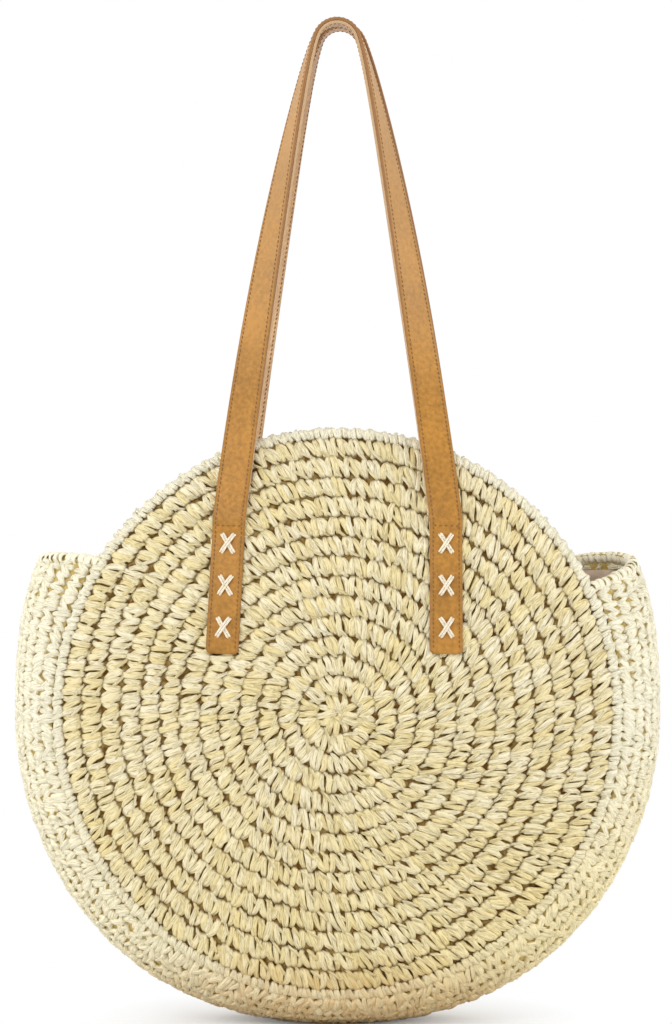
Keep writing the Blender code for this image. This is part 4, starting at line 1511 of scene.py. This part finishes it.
class BAG_OT_snap(bpy.types.Operator):
    """Finishes the magnetic snap and its washers"""
    bl_idname = "straw_bag.snap"
    bl_label = "Magnetic snap"

    def execute(self, context):
        metal = metal_material(context.scene.cord_settings.metal)
        for node in ("snap_stud", "snap_stud_washer", "snap_socket", "snap_socket_washer"):
            for slot in frame["nodes"][node].material_slots:
                slot.material = metal
        return {"FINISHED"}


# Painted shade: the gusset's strand ends and the inner yarn, coloured far darker than the straw they are made of
GOLDEN_SHADE = (0.45, 0.33, 0.09)
GOLDEN_YARN_SHADE = (0.66, 0.51, 0.23)
DEEP_YARN_SHADE_SHARES = (0.5, 0.42, 0.3)
# How strongly the slits and the strands' ends are darkened with painted shade
DISC_PAINTED_SHADE, GUSSET_PAINTED_SHADE = 0.62, 0.5


class BAG_OT_materials(bpy.types.Operator):
    """Makes the straw's finishes: the strands' own, and the inner yarn's two"""
    bl_idname = "straw_bag.materials"
    bl_label = "Straw finishes"

    def execute(self, context):
        settings = context.scene.straw_settings
        straw_material("crochet_straw", settings, settings.light, settings.dark, settings.shade, DISC_PAINTED_SHADE)
        # A paler copy of the straw, with lighter painted shade, for the gusset, edgings and bindings: painted light
        straw_material("gusset_straw", settings, settings.pale, settings.light, GOLDEN_SHADE, GUSSET_PAINTED_SHADE)
        yarn_material("straw_depth", settings.shade, toned(settings.dark, *DEEP_YARN_SHADE_SHARES))
        yarn_material("gusset_depth", GOLDEN_SHADE, GOLDEN_YARN_SHADE)
        return {"FINISHED"}


# Stage

WHITE = (1, 1, 1, 1)
AMBIENT = (1.0, 0.99, 0.97, 1)
AMBIENT_STRENGTH = 0.72
FLOOR_HALF_WIDTH = 6.0
FADE_FROM, FADE_TO = 20 * MM, 160 * MM
LIGHT_TARGET = Vector((0, 0, 300 * MM))
CAMERA_SIDE = -0.97 * MM
LIGHTS = (
    # name, place, size, power
    ("key_light", (-0.9, -2.2, 1.9), 1.3, 25),
    ("left_light", (-2.3, -0.7, 0.8), 1.5, 17),
    ("right_light", (2.3, -0.7, 0.8), 1.5, 22),
    ("back_light", (0.3, 2.2, 1.8), 1.5, 14),
)


def white_to_camera(tree):
    """1 where the camera sees a surface, straight or in a gloss or through glass."""
    path = tree.nodes.new("ShaderNodeLightPath")
    seen = maths(tree, "ADD", path.outputs["Is Camera Ray"], path.outputs["Is Glossy Ray"], clamp=True)
    return maths(tree, "ADD", seen, path.outputs["Is Transmission Ray"], clamp=True)


def floor_material(colour):
    """A plain pale floor that keeps the bag's shadow near it and fades to the white backdrop."""
    material, tree, shader = new_material("floor", 0.9, 0.1)
    shader.inputs["Base Color"].default_value = (*colour, 1.0)
    distance = add_node(tree, "ShaderNodeVectorMath", {0: object_place(tree)}, "Value", operation="LENGTH")
    white = add_node(tree, "ShaderNodeEmission", {"Color": WHITE, "Strength": 1.0})
    share = maths(tree, "MULTIPLY", ranged(tree, distance, FADE_FROM, FADE_TO), white_to_camera(tree))
    mix = add_node(tree, "ShaderNodeMixShader", {0: share, 1: shader.outputs[0], 2: white})
    tree.links.new(mix, tree.nodes["Material Output"].inputs["Surface"])
    return material


def studio_world():
    """Even pale light, which the camera sees as a white backdrop."""
    world = bpy.data.worlds.new("studio")
    world.use_nodes = True
    tree = world.node_tree
    tree.nodes.clear()
    ambient = add_node(tree, "ShaderNodeBackground", {"Color": AMBIENT, "Strength": AMBIENT_STRENGTH})
    white = add_node(tree, "ShaderNodeBackground", {"Color": WHITE, "Strength": 1.0})
    mix = add_node(tree, "ShaderNodeMixShader", {0: white_to_camera(tree), 1: ambient, 2: white})
    tree.links.new(mix, tree.nodes.new("ShaderNodeOutputWorld").inputs["Surface"])
    return world


def area_light(name, place, size, power):
    light = bpy.data.lights.new(name, "AREA")
    light.shape = "DISK"
    light.size = size
    light.energy = power
    lamp = bpy.data.objects.new(name, light)
    lamp.location = place
    lamp.rotation_euler = (LIGHT_TARGET - Vector(place)).to_track_quat("-Z", "Y").to_euler()
    bpy.context.scene.collection.objects.link(lamp)


class BAG_OT_stage(bpy.types.Operator):
    """Sets the floor, the soft studio light and the level camera in front of the bag"""
    bl_idname = "straw_bag.stage"
    bl_label = "Stage"

    def execute(self, context):
        scene = context.scene
        settings = scene.stage_settings
        form = flat_grid(4, 4, FLOOR_HALF_WIDTH)
        mesh = bpy.data.meshes.new("floor")
        form.to_mesh(mesh)
        form.free()
        link("floor", mesh, floor_material(settings.floor))
        scene.world = studio_world()
        for light in LIGHTS:
            area_light(*light)
        camera = bpy.data.objects.new("camera", bpy.data.cameras.new("camera"))
        camera.data.lens = settings.lens
        camera.location = (CAMERA_SIDE, -settings.distance, settings.height)
        camera.rotation_euler = (math.pi / 2, 0, 0)
        scene.collection.objects.link(camera)
        scene.camera = camera
        scene.view_settings.view_transform = "Standard"
        return {"FINISHED"}


OPERATORS = (
    BAG_OT_materials, BAG_OT_discs, BAG_OT_gusset, BAG_OT_edgings, BAG_OT_lining,
    BAG_OT_handles, BAG_OT_crosses, BAG_OT_snap, BAG_OT_stage,
)
SETTINGS = {
    "straw_settings": StrawSettings, "lining_settings": LiningSettings, "leather_settings": LeatherSettings,
    "cord_settings": CordSettings, "stage_settings": StageSettings,
}


class BAG_PT_sidebar(bpy.types.Panel):
    bl_idname = "BAG_PT_sidebar"
    bl_label = "Straw Tote"
    bl_space_type = "VIEW_3D"
    bl_region_type = "UI"
    bl_category = "Straw Tote"

    def draw(self, context):
        for name, kind in SETTINGS.items():
            box = self.layout.box()
            for label in kind.__annotations__:
                box.prop(getattr(context.scene, name), label)
        for operator in OPERATORS:
            self.layout.operator(operator.bl_idname)


def register():
    for kind in (*SETTINGS.values(), *OPERATORS, BAG_PT_sidebar):
        bpy.utils.register_class(kind)
    for name, kind in SETTINGS.items():
        setattr(bpy.types.Scene, name, PointerProperty(type=kind))


def unregister():
    for name in SETTINGS:
        delattr(bpy.types.Scene, name)
    for kind in (BAG_PT_sidebar, *reversed(OPERATORS), *reversed(SETTINGS.values())):
        bpy.utils.unregister_class(kind)


def main():
    register()
    for operator in OPERATORS:
        group, _, name = operator.bl_idname.partition(".")
        getattr(getattr(bpy.ops, group), name)()


if __name__ == "__main__":
    main()
